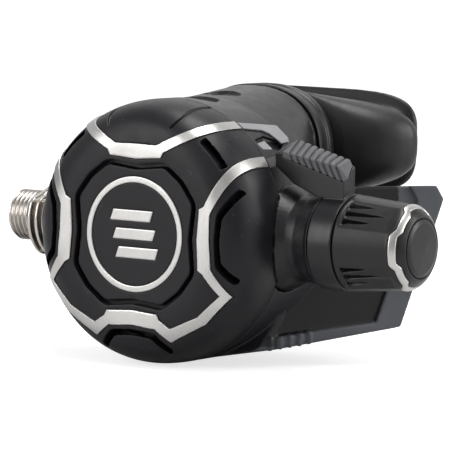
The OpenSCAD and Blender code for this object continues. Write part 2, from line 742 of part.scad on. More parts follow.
// A hollow plug that the poppet's spring rests on, with a six-sided drive that slides in the knob
module adjusting_screw() color(steel) place() difference() {
    union() {
        turned_x([
            [0, screw_x], [bore_r - fit, screw_x], [bore_r - fit, screw_x + 6], [bore_r - 1.1, screw_x + 6],
            [bore_r - 1.1, screw_x + 7.8], [bore_r - fit, screw_x + 7.8], [bore_r - fit, screw_x + 10],
            [drive_r + 0.4, screw_x + 11.4], [drive_r + 0.4, screw_x + 12], [0, screw_x + 12]
        ]);
        translate([screw_x + 11, 0, 0]) rotate([0, 90, 0]) cylinder(r = drive_r, h = drive_end_x - screw_x - 11, $fn = 6);
    }
    rod_x(pocket_r, screw_x - 1, screw_x + pocket_l);
    rod_x(shank_r, drive_end_x - shank_l - 0.3, drive_end_x + 1);
}

module screw_o_ring() color(rubber) place() o_ring(bore_r - 0.55, 0.42, screw_x + 6.9);

grip_l = 11;
grip_n = 4;
grip_turn = 45;
knob_round = 4.6;

module knob_body(grow) turned_x(concat(
    [[0, knob_x], [knob_r - 0.4 + grow, knob_x], [knob_r + grow, knob_x + 0.5]],
    [for (t = [0 : 0.2 : 1])
        [knob_side_r + grow - (knob_side_r - knob_end_r) * pow(t, 2.2), knob_end_x - knob_round * (1 - t)]],
    [[0, knob_end_x]]
));

// A row of three slots in a shallow hollow
module grip_cut() {
    translate([knob_x + 2.2, 0, knob_r + 2.2]) rotate([0, 90, 0]) scale([1, 1.75, 1])
        cylinder(r = 3, h = grip_l, $fn = SMALL_FN);
    for (s = [-1 : 1]) translate([knob_x + 1.6 + abs(s), 2.4 * s - 0.45, knob_r - 2.4 - 0.25 * abs(s)])
        cube([grip_l - 2.2 * abs(s), 0.9, 4]);
}

// The wavy band: a skin of the knob, cut out by four equal waves that meet between the grips
wave_x = knob_end_x - 2.2;
function wave_side(x) = [[-13, x - wave_h], [-5, x - wave_h], [-3, x + wave_h], [3, x + wave_h], [5, x - wave_h], [13, x - wave_h]];
function waves(grow) = concat(wave_side(wave_x + wave_w / 2 + grow), [
    for (i = [5 : -1 : 0]) wave_side(wave_x - wave_w / 2 - grow)[i]
]);
module wave_band(grow, height) intersection() {
    difference() {
        knob_body(height);
        knob_body(-0.6 - grow);
    }
    for (k = [0 : grip_n - 1]) rotate([grip_turn + 360 * k / grip_n, 0, 0]) translate([0, 0, 4])
        rotate([180, 0, 90]) mirror([0, 0, 1]) linear_extrude(12) polygon(waves(grow));
}

module adjusting_knob() color(black) place() difference() {
    knob_body(0);
    for (k = [0 : grip_n - 1]) rotate([grip_turn + 360 * k / grip_n, 0, 0]) grip_cut();
    rod_x(barrel_r + fit, knob_x - 1, barrel_end_x + gap);
    rod_x(cap_r + 0.2, knob_end_x - cap_depth, knob_end_x + 2);
    rod_x(3.8, drive_end_x - 0.05, knob_end_x);
    translate([knob_x, 0, 0]) rotate([0, 90, 0]) cylinder(r = drive_r + 0.12, h = knob_l - 4, $fn = 6);
    wave_band(0.04, 1);
}

module knob_trim() color(silver) place() wave_band(0, 0.15);

// A slotted screw in the end of the six-sided drive, which keeps the knob on
module knob_screw() color(steel) place() difference() {
    union() {
        rod_x(3.6, drive_end_x + 0.05, drive_end_x + screw_head_t);
        rod_x(shank_r - 0.05, drive_end_x - shank_l, drive_end_x + screw_head_t - 0.5);
    }
    translate([drive_end_x + screw_head_t - 0.8, -0.5, -4]) cube([2, 1, 8]);
}

cap_dome = 0.5;
module knob_cap() color(black) place() turned_x([
    [0, knob_end_x - cap_depth + 0.05], [cap_r, knob_end_x - cap_depth + 0.05], [cap_r, knob_end_x + 0.1],
    [cap_r - 0.9, knob_end_x + cap_dome], [cap_r - 1.3, knob_end_x + cap_dome + 0.1], [0, knob_end_x + cap_dome + 0.4]
]);

// ---------------------------------------------------------------- venturi lever

// The fairing is lofted between an outline at its front and one at its back
fairing_front = -5.8;
fairing_back = -0.4;
lever_in = case_r - 4.5;
lever_end = collar_x + collar_w - 0.6;
fairing_front_outline = [
    [lever_in, 19.4], [lever_in - 0.2, 22.9], [lever_in + 2.9, 23], [lever_end, 17.6], [lever_end, 11.8],
    [lever_end - 8.2, 12], [lever_in + 6, 14.9]
];
fairing_back_outline = [
    [lever_in + 0.7, 20.4], [lever_in + 1.9, ridge_z - 1], [lever_in + 3.9, ridge_z - 0.6],
    [lever_end - 1.6, ridge_end_z - 0.7], [lever_end, ridge_end_z - 2],
    [lever_end, 13.3], [lever_end - 10.2, 13.2], [lever_in + 6.5, 14.9]
];

module fairing() hull() {
    between_y(fairing_front, fairing_front + 0.4) polygon(fairing_front_outline);
    between_y(fairing_back - 0.4, fairing_back) polygon(fairing_back_outline);
}

module venturi_lever() color(black) place() difference() {
    union() {
        tube_x(collar_r, hub_r + fit, collar_x, collar_x + collar_w);
        tube_x(collar_r - 0.6, vane_r_in, web_x, web_x + 0.8);
        difference() {
            fairing();
            rod_x(collar_r - 0.4, 20, collar_x + collar_w + 5);
        }
    }
    grip_block(0.03);
}

grip_x = lever_in + 2.3;
grip_end_x = lever_end + 1.2;

// The grip's form, with a flat base let into the fairing's top edge
module grip_block(grow) hull() {
    between_y(fairing_front - 0.3 - grow, fairing_front + 0.6) polygon([
        [grip_x - grow, 21.9 - grow], [grip_x - grow, 23.4], [grip_end_x - 2.8, ridge_end_z - 1.6],
        [grip_end_x + grow, 17.4], [grip_end_x - 1.2, 16.4 - grow]
    ]);
    between_y(-1.2, -0.8 + grow) polygon([
        [grip_x + 1.4 - grow, 24.2 - grow], [grip_x + 1.6, ridge_z], [grip_end_x - 2.6, ridge_end_z],
        [grip_end_x - 1.8 + grow, ridge_end_z - 1.6], [grip_end_x - 3, 19 - grow]
    ]);
}

rib_pitch = (grip_end_x - grip_x - 2) / ribs;
module venturi_grip() color(graphite) place() difference() {
    grip_block(0);
    for (i = [1 : ribs - 1]) translate([grip_x + i * rib_pitch, 0, 0]) hull() {
        translate([0, fairing_front - 2, ridge_z + 3]) cube([rib_gap, 8, 1]);
        translate([0, fairing_front - 2, boss_r + 1]) cube([rib_gap, 2.4, 1]);
    }
}

module venturi_vane() color(black) place() difference() {
    tube_x(vane_r, vane_r_in, vane_x, web_x - 0.05);
    translate([vane_x - 1, -vane_r - 1, -vane_r - 1]) cube([case_r + gap + 1.1 - vane_x, vane_r + 3, 2 * vane_r + 2]);
}

// ---------------------------------------------------------------- exhaust

module exhaust_valve() {
    rod_y(port_size + valve_lip, rear_wall + 0.2, rear_wall + 1);
    rod_y(port_hole_r - 0.1, rear_wall - wall - 0.2, rear_wall + 0.5);
    rod_y(port_hole_r + 0.6, rear_wall - wall - 1.2, rear_wall - wall - 0.2);
}

module exhaust_valve_left() color(rubber) place() translate([-port_side, 0, port_z]) exhaust_valve();

module exhaust_valve_right() color(rubber) place() translate([port_side, 0, port_z]) exhaust_valve();

// The wing's front is a plane through its foot, which slopes back by these amounts for each millimetre outwards and up
wing_slope = 1.455;
wing_lean = 0.107;
foot_r = case_r + 4.4;
foot_a = 39;
wing_foot = [foot_r * sin(foot_a), -3, -foot_r * cos(foot_a)];
function on_wing(x, z) = [x, wing_foot[1] + wing_slope * (x - wing_foot[0]) + wing_lean * (z - wing_foot[2]), z];

// The right wing's outside corners: its front face, its back, and the middle of the tee
wing_front = seam_y + gap + 0.1;
wing_low = on_wing(tee_w - 5.6, 10.4 - case_r);
wing_tip = on_wing(tee_w, tee_top - 3.7);
wing_top = on_wing(tee_w - 1.5, tee_top);
wing_inner = on_wing(case_r + 4, tee_top);
wing_back_top = wing_tip + [-12.4, 7.9, 1.7];
wing_back_low = wing_low + [-11.3, 12.8, 3.6];
wing_corners = [
    wing_foot, wing_low, wing_tip, wing_top, wing_inner, wing_back_top, wing_back_low, wing_inner + [-10, -0.8, -4],
    [9, wing_front, 1.4 - case_r], [-1, wing_front, 0.1 - case_r], [-1, rear_wall + 1, 0.6 - case_r],
    [20, rear_wall, 3 - case_r], [-1, rear_wall + 20, 8 - case_r], [-1, rear_wall + 20, tee_line + 7.4],
    [-1, rear_wall + gap, tee_line + 5.4]
];

// The outlet's corners, which lie just outside the wing, and the round chamber behind the exhaust valve
outwards = [1, 1.05, -0.5];
outlet_corners = [
    wing_low + [-2.4, 1, 2.2] + outwards, wing_tip + [-2.4, 0.6, -0.4] + outwards,
    wing_top + [-1.8, 0.8, -2] + outwards, wing_back_top + [0, -2, -2.4] + outwards,
    wing_back_low + [0.2, -2, 2.4] + outwards, wing_inner + [-2.2, 4, -3.2], wing_inner + [-10, 2.2, -7.6]
];
module corners(points) hull() for (p = points) translate(p) cube(0.02, center = true);
module duct() hull() {
    corners(outlet_corners);
    rod_y(port_size + valve_lip + gap, rear_wall - 0.5, rear_wall + 2.4, port_side, port_z, $fn = SMALL_FN);
}

// A shallow hollow in the wing's front, open at the top, beside the broad rim and above the lip
hollow_corners = [
    on_wing(case_r + 1.6, tee_top + 1), on_wing(tee_w - 6.5, tee_top + 1), on_wing(tee_w - 4.5, tee_top - 4.2),
    on_wing(tee_w - 9.8, wing_low[2] + 1.2), on_wing(wing_foot[0] + 3, wing_foot[2] + 3.8)
];
wing_normal = unit([wing_slope, -1, wing_lean]);
module wing_hollow() hull() for (p = hollow_corners) for (d = [-hollow, 2])
    translate(p + d * wing_normal) cube(0.02, center = true);

// One side of the tee's small ribs, which run up over the lip
lip_dir = unit(wing_low - wing_foot);
module lip_rib_row() for (i = [0 : lip_ribs - 1]) translate(wing_foot + (3.4 + 2.9 * i) * lip_dir)
    rotate([0, 0, atan2(lip_dir[1], lip_dir[0])]) translate([0, -0.35, -0.5]) cube([1.1, 1.6, 3.6]);

module exhaust_tee() color(graphite) place() difference() {
    union() {
        mirrored() difference() {
            corners(wing_corners);
            wing_hollow();
        }
        intersection() {
            rod_y(case_r, seam_y + gap, rear_wall);
            translate([-beyond, -beyond, tee_line - 0.2 - 2 * beyond]) cube(2 * beyond);
        }
        mirrored() lip_rib_row();
    }
    mirrored() duct();
    case_form(0.2);
    turned_x([for (p = right_boss) [p[0] + (p[0] > 0 ? 0.25 : 0), p[1]]]);
    turned_x([for (p = left_boss) [p[0] + (p[0] > 0 ? 0.25 : 0), p[1]]]);
}

// ---------------------------------------------------------------- mouthpiece

flange_z = 24.2;
clamp_y = neck_y + 0.8;
rim_y = neck_y + 34.3;
// The rubber's sections: distance behind the barrel axis, half width, half height, height of the centre,
// squareness, and how far the middle is drawn forward
mouth_section = [
    [neck_y + gap, neck_w - 0.4, neck_h - 0.4, neck_z, 2.3, 0],
    [clamp_y + clamp_w, neck_w - 0.4, neck_h - 0.4, neck_z, 2.3, 0],
    [clamp_y + clamp_w + 1, neck_w - 0.6, neck_h - 1.2, neck_z + 0.6, 2.4, 0],
    [clamp_y + clamp_w + 4, neck_w + 3.4, neck_h - 2.8, flange_z - 2.4, 2.7, 0.4],
    [rim_y - 16, flange_w - 4.8, flange_h - 0.5, flange_z - 0.6, 3.2, 1],
    [rim_y - 11, flange_w - 3.4, flange_h - 1.2, flange_z - 0.2, 3.4, 2.4],
    [rim_y - 7, flange_w - 2.4, flange_h - 2.4, flange_z, 3.5, 3.8],
    [rim_y - 4, flange_w - 0.7, flange_h - 0.7, flange_z, 3.5, 4.9],
    [rim_y - 2, flange_w, flange_h, flange_z, 3.5, 5.6],
    [rim_y, flange_w - 0.6, flange_h - 0.6, flange_z, 3.5, 6.2]
];

// The points of a section, bowed so that its sides lie further back than its middle
function mouth_ring(s) = [
    for (p = oval(s[1], s[2], 40, s[4])) [p[0], s[0] - s[5] * (1 - pow(p[0] / s[1], 2)), s[3] + p[1]]
];

// A closed form through rings of points, from the front ring to the back one
module loft(rings) {
    n = len(rings[0]);
    last = (len(rings) - 1) * n;
    skin = [
        for (i = [0 : len(rings) - 2]) for (k = [0 : n - 1])
            let (m = (k + 1) % n, p = i * n)
            each [[p + k, p + m, p + n + m], [p + k, p + n + m, p + n + k]]
    ];
    caps = [
        for (k = [1 : n - 2]) each [[0, k + 1, k], [last, last + k, last + k + 1]]
    ];
    polyhedron([for (r = rings) each r], concat(skin, caps), convexity = 6);
}

// A bite tab: a plate for the teeth with a raised end and an upright cheek
tab_x = 10.5;
tab_w = 11.5;
tab_end_y = neck_y + mouth_l;
module bite_tab() {
    translate([tab_x, rim_y - 9, flange_z - 3]) cube([tab_w, tab_end_y - rim_y + 9, 2.8]);
    translate([tab_x, tab_end_y - 2.4, flange_z - 5.4]) cube([tab_w, 2.4, 7.6]);
    translate([tab_x + tab_w - 2.2, rim_y - 9, flange_z - 6.6]) cube([2.2, tab_end_y - rim_y + 9, 10]);
}

module mouthpiece() color(rubber) place() difference() {
    union() {
        loft([for (s = mouth_section) mouth_ring(s)]);
        mirrored() bite_tab();
    }
    between_y(neck_y - 1, neck_y + spigot_l + 0.2) translate([0, neck_z])
        polygon(oval(neck_w - spigot_in + 0.1, neck_h - spigot_in + 0.1));
    between_y(neck_y, rim_y) translate([0, flange_z - 1.6]) polygon(oval(airway_w, airway_h));
}

module mouthpiece_clamp() color(black) place() difference() {
    between_y(clamp_y, clamp_y + clamp_w) translate([0, neck_z]) polygon(oval(neck_w + 0.5, neck_h + 0.3));
    between_y(neck_y, clamp_y + clamp_w + 1) translate([0, neck_z]) polygon(oval(neck_w - 0.3, neck_h - 0.3));
}

// ---------------------------------------------------------------- nodes

front_cover();
cover_trim_upper();
cover_trim_lower();
purge_button();
purge_ring();
purge_badge();
purge_spring();
diaphragm_guard();
diaphragm();
diaphragm_plate();
case();
case_trim();
trim_block();
window_marker();
valve_barrel();
inlet_fitting();
inlet_o_ring();
orifice();
orifice_o_ring();
valve_seat();
poppet();
lever_washer();
lever_locknut();
poppet_spring();
demand_lever();
adjusting_screw();
screw_o_ring();
adjusting_knob();
knob_trim();
knob_screw();
knob_cap();
venturi_lever();
venturi_grip();
venturi_vane();
exhaust_valve_left();
exhaust_valve_right();
exhaust_tee();
mouthpiece();
mouthpiece_clamp();
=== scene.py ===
"""Looks of the scuba second stage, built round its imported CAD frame.

The frame is in metres with +Z up. X runs along the valve barrel from the hose thread to the knob, and -Y is
the side of the purge button. Lengths below are written in millimetres and multiplied by MM.
"""

import json
import math

import bmesh
import bpy
import numpy as np
from mathutils import Matrix, Vector


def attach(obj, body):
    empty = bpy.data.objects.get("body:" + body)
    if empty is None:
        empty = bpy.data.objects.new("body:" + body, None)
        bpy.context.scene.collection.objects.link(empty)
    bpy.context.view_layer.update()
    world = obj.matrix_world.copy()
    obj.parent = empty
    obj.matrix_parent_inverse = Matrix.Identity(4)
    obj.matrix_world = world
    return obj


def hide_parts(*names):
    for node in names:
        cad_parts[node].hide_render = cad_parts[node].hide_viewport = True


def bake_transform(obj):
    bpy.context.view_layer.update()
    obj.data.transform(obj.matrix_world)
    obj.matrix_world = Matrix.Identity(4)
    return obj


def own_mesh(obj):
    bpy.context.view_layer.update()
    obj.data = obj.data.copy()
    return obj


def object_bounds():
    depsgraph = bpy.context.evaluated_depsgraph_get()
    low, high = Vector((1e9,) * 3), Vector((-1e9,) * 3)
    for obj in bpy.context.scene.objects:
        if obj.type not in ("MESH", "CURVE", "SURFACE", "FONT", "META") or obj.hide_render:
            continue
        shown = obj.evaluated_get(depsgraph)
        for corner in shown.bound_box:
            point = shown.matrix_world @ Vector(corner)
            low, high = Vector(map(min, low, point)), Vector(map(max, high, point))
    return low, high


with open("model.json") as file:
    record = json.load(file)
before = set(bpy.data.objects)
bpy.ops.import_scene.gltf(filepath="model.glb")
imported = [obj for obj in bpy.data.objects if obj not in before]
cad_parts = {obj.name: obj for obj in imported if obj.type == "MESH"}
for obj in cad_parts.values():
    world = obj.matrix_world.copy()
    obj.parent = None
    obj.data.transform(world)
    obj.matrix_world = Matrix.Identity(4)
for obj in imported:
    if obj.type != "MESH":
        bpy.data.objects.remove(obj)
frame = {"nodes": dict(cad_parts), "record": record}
lo0, hi0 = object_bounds()

MM = 0.001
NODES = frame["nodes"]
BODIES = frame["record"]["behaviour"]["bodies"]
SLOTS = {part["node"]: part["material_slot"] for part in frame["record"]["subparts"]}
BODY_OF = {node: body for body, nodes in BODIES.items() for node in nodes}

# Sizes of the CAD solids that the finer pieces follow, in millimetres
REACH = 57.2            # from the hose thread's end to the cover's axis
AXIS = np.array((REACH, 0, 0))
CASE_R = 36
SEAM_Y = -7.7           # where the cover meets the case
COVER_DEPTH = 18.3
FLAT_R = 22             # the cover's flat middle, from which its curve starts
DRUM_BACK = 8           # where the case's drum goes over to its neck
NECK = (21, 18.7, 19.7)  # half width, half height and height of the centre
NECK_Y = 31.7
OVAL_POWER = 2.3        # 2 is an ellipse, and higher ones are squarer
RIM_Y = 66              # back of the mouthpiece's flange
GUARD_Y = -17.2         # front of the diaphragm's guard
PURGE_TRAVEL = 3.2


# ---------------------------------------------------------------- camera

CAMERA_AZIMUTH = 33.53
CAMERA_ELEVATION = 5.2
CAMERA_ROLL = -1.5
CAMERA_DISTANCE = 952 * MM
CAMERA_TARGET = Vector((69.21, 0, 1.78)) * MM
CAMERA_LENS = 280
SENSOR = 36


def make_camera():
    """The photograph's camera: right of the purge side, a little above, rolled slightly."""
    azimuth, elevation, roll = (math.radians(a) for a in (CAMERA_AZIMUTH, CAMERA_ELEVATION, CAMERA_ROLL))
    level_share = math.cos(elevation)
    back = Vector((math.sin(azimuth) * level_share, -math.cos(azimuth) * level_share, math.sin(elevation)))
    level = Vector((math.cos(azimuth), math.sin(azimuth), 0))
    upright = back.cross(level)
    right = math.cos(roll) * level - math.sin(roll) * upright
    up = math.cos(roll) * upright + math.sin(roll) * level
    data = bpy.data.cameras.new("camera")
    data.lens = CAMERA_LENS
    data.sensor_width = SENSOR
    data.clip_end = 100
    camera = bpy.data.objects.new("camera", data)
    bpy.context.scene.collection.objects.link(camera)
    place = Matrix((right, up, back)).transposed().to_4x4()
    place.translation = CAMERA_TARGET + back * CAMERA_DISTANCE
    camera.matrix_world = place
    bpy.context.scene.camera = camera


# ---------------------------------------------------------------- materials


class Shader:
    """A small wrapper that adds nodes to one material and links them."""

    def __init__(self, name, **settings):
        self.material = bpy.data.materials.new(name)
        self.material.use_nodes = True
        self.tree = self.material.node_tree
        self.surface = self.tree.nodes["Principled BSDF"]
        for key, value in settings.items():
            self.surface.inputs[key].default_value = value
        self.place = self.node("TexCoord").outputs["Object"]

    def node(self, kind, inputs=None, **properties):
        made = self.tree.nodes.new("ShaderNode" + kind)
        for key, value in properties.items():
            setattr(made, key, value)
        for key, value in (inputs or {}).items():
            if isinstance(value, bpy.types.NodeSocket):
                self.tree.links.new(value, made.inputs[key])
            else:
                made.inputs[key].default_value = value
        return made

    def noise(self, size_mm, stretch=(1, 1, 1), detail=3.0, roughness=0.5):
        """Noise whose blotches are about size_mm across, longer along an axis with a stretch above 1."""
        scaled = self.node("Mapping", {"Vector": self.place, "Scale": [1 / s for s in stretch]})
        made = self.node("TexNoise", {
            "Vector": scaled.outputs["Vector"],
            "Scale": 1 / (size_mm * MM),
            "Detail": detail,
            "Roughness": roughness,
        })
        return made.outputs["Fac"]

    def spread(self, value, low, high, from_low=0.3, from_high=0.7):
        """The value mapped to low ... high. The ends that it comes from suit a noise."""
        made = self.node("MapRange", {
            "Value": value, "From Min": from_low, "From Max": from_high, "To Min": low, "To Max": high,
        })
        return made.outputs["Result"]

    def mixed(self, factor, one, other):
        """From one plain colour to another by factor."""
        made = self.node("Mix", {"Factor": factor}, data_type="RGBA")
        made.inputs["A"].default_value = (*one, 1)
        made.inputs["B"].default_value = (*other, 1)
        return made.outputs["Result"]

    def tinted(self, factor, colour, other):
        """colour, a socket, going over to the plain colour other by factor."""
        made = self.node("Mix", {"Factor": factor, "A": colour}, data_type="RGBA")
        made.inputs["B"].default_value = (*other, 1)
        return made.outputs["Result"]

    def edges(self, low, high, most):
        """From 0 on flat faces to most on convex edges."""
        point = self.node("NewGeometry").outputs["Pointiness"]
        return self.spread(point, 0, most, low, high)

    def give(self, key, socket):
        self.tree.links.new(socket, self.surface.inputs[key])

    def bump(self, height, depth_mm):
        return self.node("Bump", {"Height": height, "Distance": depth_mm * MM}).outputs["Normal"]


GRAIN_MM = 0.35         # size of the moulded plastics' grain
GRAIN_DEPTH = 0.006     # its depth in millimetres, and the rubbers'


def moulded_plastic(name, colour, lighter, roughness, specular=0.4, edge_highlight=0.5):
    """Satin injection-moulded plastic: fine grain, faint flow marks, and slightly paler convex edges as a
    painted edge highlight.
    """
    s = Shader(name, **{"Specular IOR Level": specular})
    base = s.mixed(s.spread(s.noise(14, detail=4), 0, 1), colour, lighter)
    # Painted highlight: convex edges are tinted towards a paler colour, which stands in for light caught on
    # the rounded edges.
    highlight_tint = [min(1.0, c * 2.2 + 0.01) for c in lighter]
    s.give("Base Color", s.tinted(s.edges(0.53, 0.62, edge_highlight), base, highlight_tint))
    s.give("Roughness", s.spread(s.noise(3), roughness - 0.04, roughness + 0.05))
    s.give("Normal", s.bump(s.noise(GRAIN_MM, detail=2), GRAIN_DEPTH))
    return s.material


def tee_plastic(name, rim, rim_lighter, hollow, roughness):
    """Matt grey-blue plastic that goes over to a smooth near-black painted shade where the piece's shade
    value is 1.
    """
    s = Shader(name, **{"Specular IOR Level": 0.25})
    inside = s.node("Attribute", attribute_name="hollow").outputs["Fac"]
    base = s.mixed(s.spread(s.noise(12, detail=4), 0, 1), rim, rim_lighter)
    # Painted shade: where the shade value is 1 the colour goes to near-black, which stands in for the shade
    # in the tee's hollows and under the cover.
    s.give("Base Color", s.tinted(inside, base, hollow))
    matt = s.spread(s.noise(2.5), roughness - 0.04, roughness + 0.05)
    s.give("Roughness", s.spread(inside, matt, 0.3, 0, 1))
    s.give("Normal", s.bump(s.noise(GRAIN_MM, detail=2), GRAIN_DEPTH))
    return s.material


def brushed_metal(name, colour, darker, roughness, stretch, line_mm=0.25, depth=0.002):
    """Satin metal with fine lines along the stretched axis and faint clouds in its polish."""
    s = Shader(name, Metallic=1.0)
    lines = s.noise(line_mm, stretch)
    s.give("Base Color", s.mixed(s.spread(s.noise(8), 0, 1), darker, colour))
    s.give("Roughness", s.spread(lines, roughness - 0.03, roughness + 0.05))
    s.give("Normal", s.bump(lines, depth))
    return s.material


def soft_rubber(name, colour, lighter, roughness):
    """Silicone rubber: satin, with a fine matt grain and a little bloom."""
    s = Shader(name, **{"Specular IOR Level": 0.36, "Sheen Weight": 0.05, "Sheen Roughness": 0.4})
    bloom = s.noise(9, detail=5, roughness=0.6)
    s.give("Base Color", s.mixed(s.spread(bloom, 0, 1), colour, lighter))
    s.give("Roughness", s.spread(s.noise(1.6, detail=4), roughness - 0.05, roughness + 0.06))
    s.give("Normal", s.bump(s.noise(0.5), GRAIN_DEPTH))
    return s.material


# For each slot of the record its kind of material, two colours between which it varies, its roughness, and
# the rest of that function's arguments. The tee has the colour of the shade painted in its hollows before
# its roughness.
LOOKS = {
    "cover_plastic": (moulded_plastic, (0.0075, 0.0065, 0.0085), (0.0105, 0.0095, 0.012), 0.38, 0.25),
    "case_plastic": (moulded_plastic, (0.0055, 0.005, 0.0065), (0.0085, 0.008, 0.01), 0.32, 0.36),
    "knob_plastic": (moulded_plastic, (0.0065, 0.0055, 0.006), (0.011, 0.0095, 0.0105), 0.34, 0.36),
    "grey_plastic": (moulded_plastic, (0.075, 0.075, 0.08), (0.1, 0.1, 0.107), 0.5, 0.4, 0.4),
    "grey_trim": (moulded_plastic, (0.23, 0.23, 0.24), (0.28, 0.28, 0.29), 0.42, 0.4, 0.2),
    "tee_plastic": (tee_plastic, (0.075, 0.08, 0.09), (0.095, 0.1, 0.112), (0.0055, 0.0052, 0.0062), 0.5),
    "silver_trim": (brushed_metal, (0.55, 0.54, 0.525), (0.48, 0.47, 0.455), 0.3, (1, 1, 14), 0.3, 0.0005),
    "stainless_steel": (brushed_metal, (0.62, 0.59, 0.56), (0.46, 0.43, 0.4), 0.22, (1, 12, 12)),
    "spring_steel": (brushed_metal, (0.5, 0.5, 0.52), (0.4, 0.4, 0.41), 0.26, (3, 3, 3)),
    "plated_brass": (brushed_metal, (0.72, 0.66, 0.48), (0.6, 0.52, 0.33), 0.24, (1, 10, 10)),
    "anodised_aluminium": (brushed_metal, (0.62, 0.62, 0.63), (0.5, 0.5, 0.52), 0.3, (1, 10, 10)),
    "silicone": (soft_rubber, (0.05, 0.05, 0.055), (0.07, 0.07, 0.075), 0.5),
    "mouthpiece_rubber": (soft_rubber, (0.006, 0.006, 0.0065), (0.01, 0.01, 0.011), 0.4),
}
MATERIALS = {slot: kind(slot, *values) for slot, (kind, *values) in LOOKS.items()}


# ---------------------------------------------------------------- mesh tools


def linked(name, mesh):
    piece = bpy.data.objects.new(name, mesh)
    bpy.context.scene.collection.objects.link(piece)
    return piece


def evaluated_mesh(piece):
    """The piece's mesh with its modifiers worked in. The piece keeps its own and loses the modifiers."""
    bpy.context.view_layer.update()
    evaluated = piece.evaluated_get(bpy.context.evaluated_depsgraph_get())
    mesh = bpy.data.meshes.new_from_object(evaluated)
    piece.modifiers.clear()
    return mesh


def settle(piece):
    """Turns a piece's modifiers into its mesh."""
    piece.data = evaluated_mesh(piece)


def dressed(piece, node):
    """The piece stands for a CAD node, rides on its body and takes its slot's material."""
    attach(piece, BODY_OF[node])
    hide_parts(node)
    paint(piece, MATERIALS[SLOTS[node]])
    return piece


def paint(piece, material):
    piece.data.materials.clear()
    piece.data.materials.append(material)


def skin_through(name, rings, closed=False):
    """A smooth skin through equal rings of points in millimetres. A closed one joins its two end rings."""
    rings = np.asarray(rings, float)
    count, around, _ = rings.shape
    index = np.arange(count * around).reshape(count, around)
    rows = np.vstack([index, index[:1]]) if closed else index
    one, other = rows[:-1], rows[1:]
    corners = [one, np.roll(one, -1, 1), np.roll(other, -1, 1), other]
    faces = np.stack(corners, -1).reshape(-1, 4).tolist()
    if not closed:
        faces += [index[0, ::-1].tolist(), index[-1].tolist()]
    mesh = bpy.data.meshes.new(name)
    mesh.from_pydata((rings.reshape(-1, 3) * MM).tolist(), [], faces)
    shape = bmesh.new()
    shape.from_mesh(mesh)
    bmesh.ops.recalc_face_normals(shape, faces=shape.faces)
    shape.to_mesh(mesh)
    shape.free()
    mesh.shade_smooth()
    return linked(name, mesh)


def eased(points, reach, steps=4):
    """A closed outline whose corners are short curves that start reach millimetres before them."""
    points = np.asarray(points, float)
    path = []
    for here, before, after in zip(points, np.roll(points, 1, 0), np.roll(points, -1, 0)):
        start = here + (before - here) * min(reach / np.linalg.norm(before - here), 0.45)
        end = here + (after - here) * min(reach / np.linalg.norm(after - here), 0.45)
        for t in np.linspace(0, 1, steps):
            path.append((1 - t) ** 2 * start + 2 * t * (1 - t) * here + t * t * end)
    return path


def turned(outline, axis, centre=AXIS, around=96):
    """Rings of an outline of (radius, distance along), turned about a line along X (0) or Y (1)."""
    angles = np.linspace(0, 2 * np.pi, around, endpoint=False)
    rings = np.zeros((len(outline), around, 3))
    for ring, (radius, along) in zip(rings, outline):
        ring[:, axis] = along
        ring[:, 1 - axis] = radius * np.cos(angles)
        ring[:, 2] = radius * np.sin(angles)
    return rings + np.asarray(centre, float)


def wound(start_r, end_r, wire, turns, length, around=12, steps=40):
    """Rings of a wire wound about +Z from z = 0."""
    share = np.linspace(0, 1, int(turns * steps) + 1)
    turn = 2 * np.pi * turns * share
    section = np.linspace(0, 2 * np.pi, around, endpoint=False)
    radius = (start_r + (end_r - start_r) * share)[:, None] + wire * np.cos(section)
    height = (wire + (length - 2 * wire) * share)[:, None] + wire * np.sin(section)
    return np.stack([radius * np.cos(turn)[:, None], radius * np.sin(turn)[:, None], height], -1)


def hull_of(name, corners):
    """The convex form round corners given in millimetres from the cover's axis."""
    shape = bmesh.new()
    for corner in corners:
        shape.verts.new(Vector(corner + AXIS) * MM)
    bmesh.ops.convex_hull(shape, input=shape.verts)
    mesh = bpy.data.meshes.new(name)
    shape.to_mesh(mesh)
    shape.free()
    return linked(name, mesh)


def own_skin(node, voxel, rounds, keep, cutters=()):
    """A softened copy of a CAD solid, less the cutters, as a mesh of its own."""
    for cutter in cutters:
        cut = NODES[node].modifiers.new("cut", "BOOLEAN")
        cut.object = cutter
        cut.solver = "EXACT"
    soften(NODES[node], voxel, rounds, keep)
    mesh = evaluated_mesh(NODES[node])
    for cutter in cutters:
        bpy.data.objects.remove(cutter)
    mesh.shade_smooth()
    return linked(node + "_skin", mesh)


def points_of(piece):
    """The piece's points in millimetres."""
    points = np.empty(len(piece.data.vertices) * 3)
    piece.data.vertices.foreach_get("co", points)
    return points.reshape(-1, 3) / MM


def move_points(piece, points):
    piece.data.vertices.foreach_set("co", (points * MM).ravel())
    piece.data.update()


def dome_share(out, rise, proud=0):
    """What a point's way from the start of the cover's curve is multiplied by to lie on that curve."""
    wide, deep = CASE_R - FLAT_R + proud, COVER_DEPTH + proud
    return (np.abs(out / wide) ** 3 + np.abs(rise / deep) ** 3) ** (-1 / 3)


def true_dome(piece, proud, reach=0.16):
    """Moves a skin's points on to the cover's exact curve where they lie within reach of it."""
    points = points_of(piece)
    across, up = points[:, 0] - REACH, points[:, 2]
    radius = np.hypot(across, up)
    out, rise = radius - FLAT_R, SEAM_Y - points[:, 1]
    share = dome_share(out, rise, proud)
    near = (out > 0.2) & (rise > 0.3) & (np.abs(share - 1) * np.hypot(out, rise) < reach)
    scale = np.where(near, (FLAT_R + out * share) / radius, 1)
    points[:, 0] = REACH + across * scale
    points[:, 2] = up * scale
    points[:, 1] = np.where(near, SEAM_Y - rise * share, points[:, 1])
    move_points(piece, points)


def true_drum(piece, radius, reach=0.16):
    """Moves points that lie within reach of a cylinder about the cover's axis on to it."""
    points = points_of(piece)
    across, up = points[:, 0] - REACH, points[:, 2]
    own = np.hypot(across, up)
    scale = np.where(np.abs(own - radius) < reach, radius / own, 1)
    points[:, 0] = REACH + across * scale
    points[:, 2] = up * scale
    move_points(piece, points)


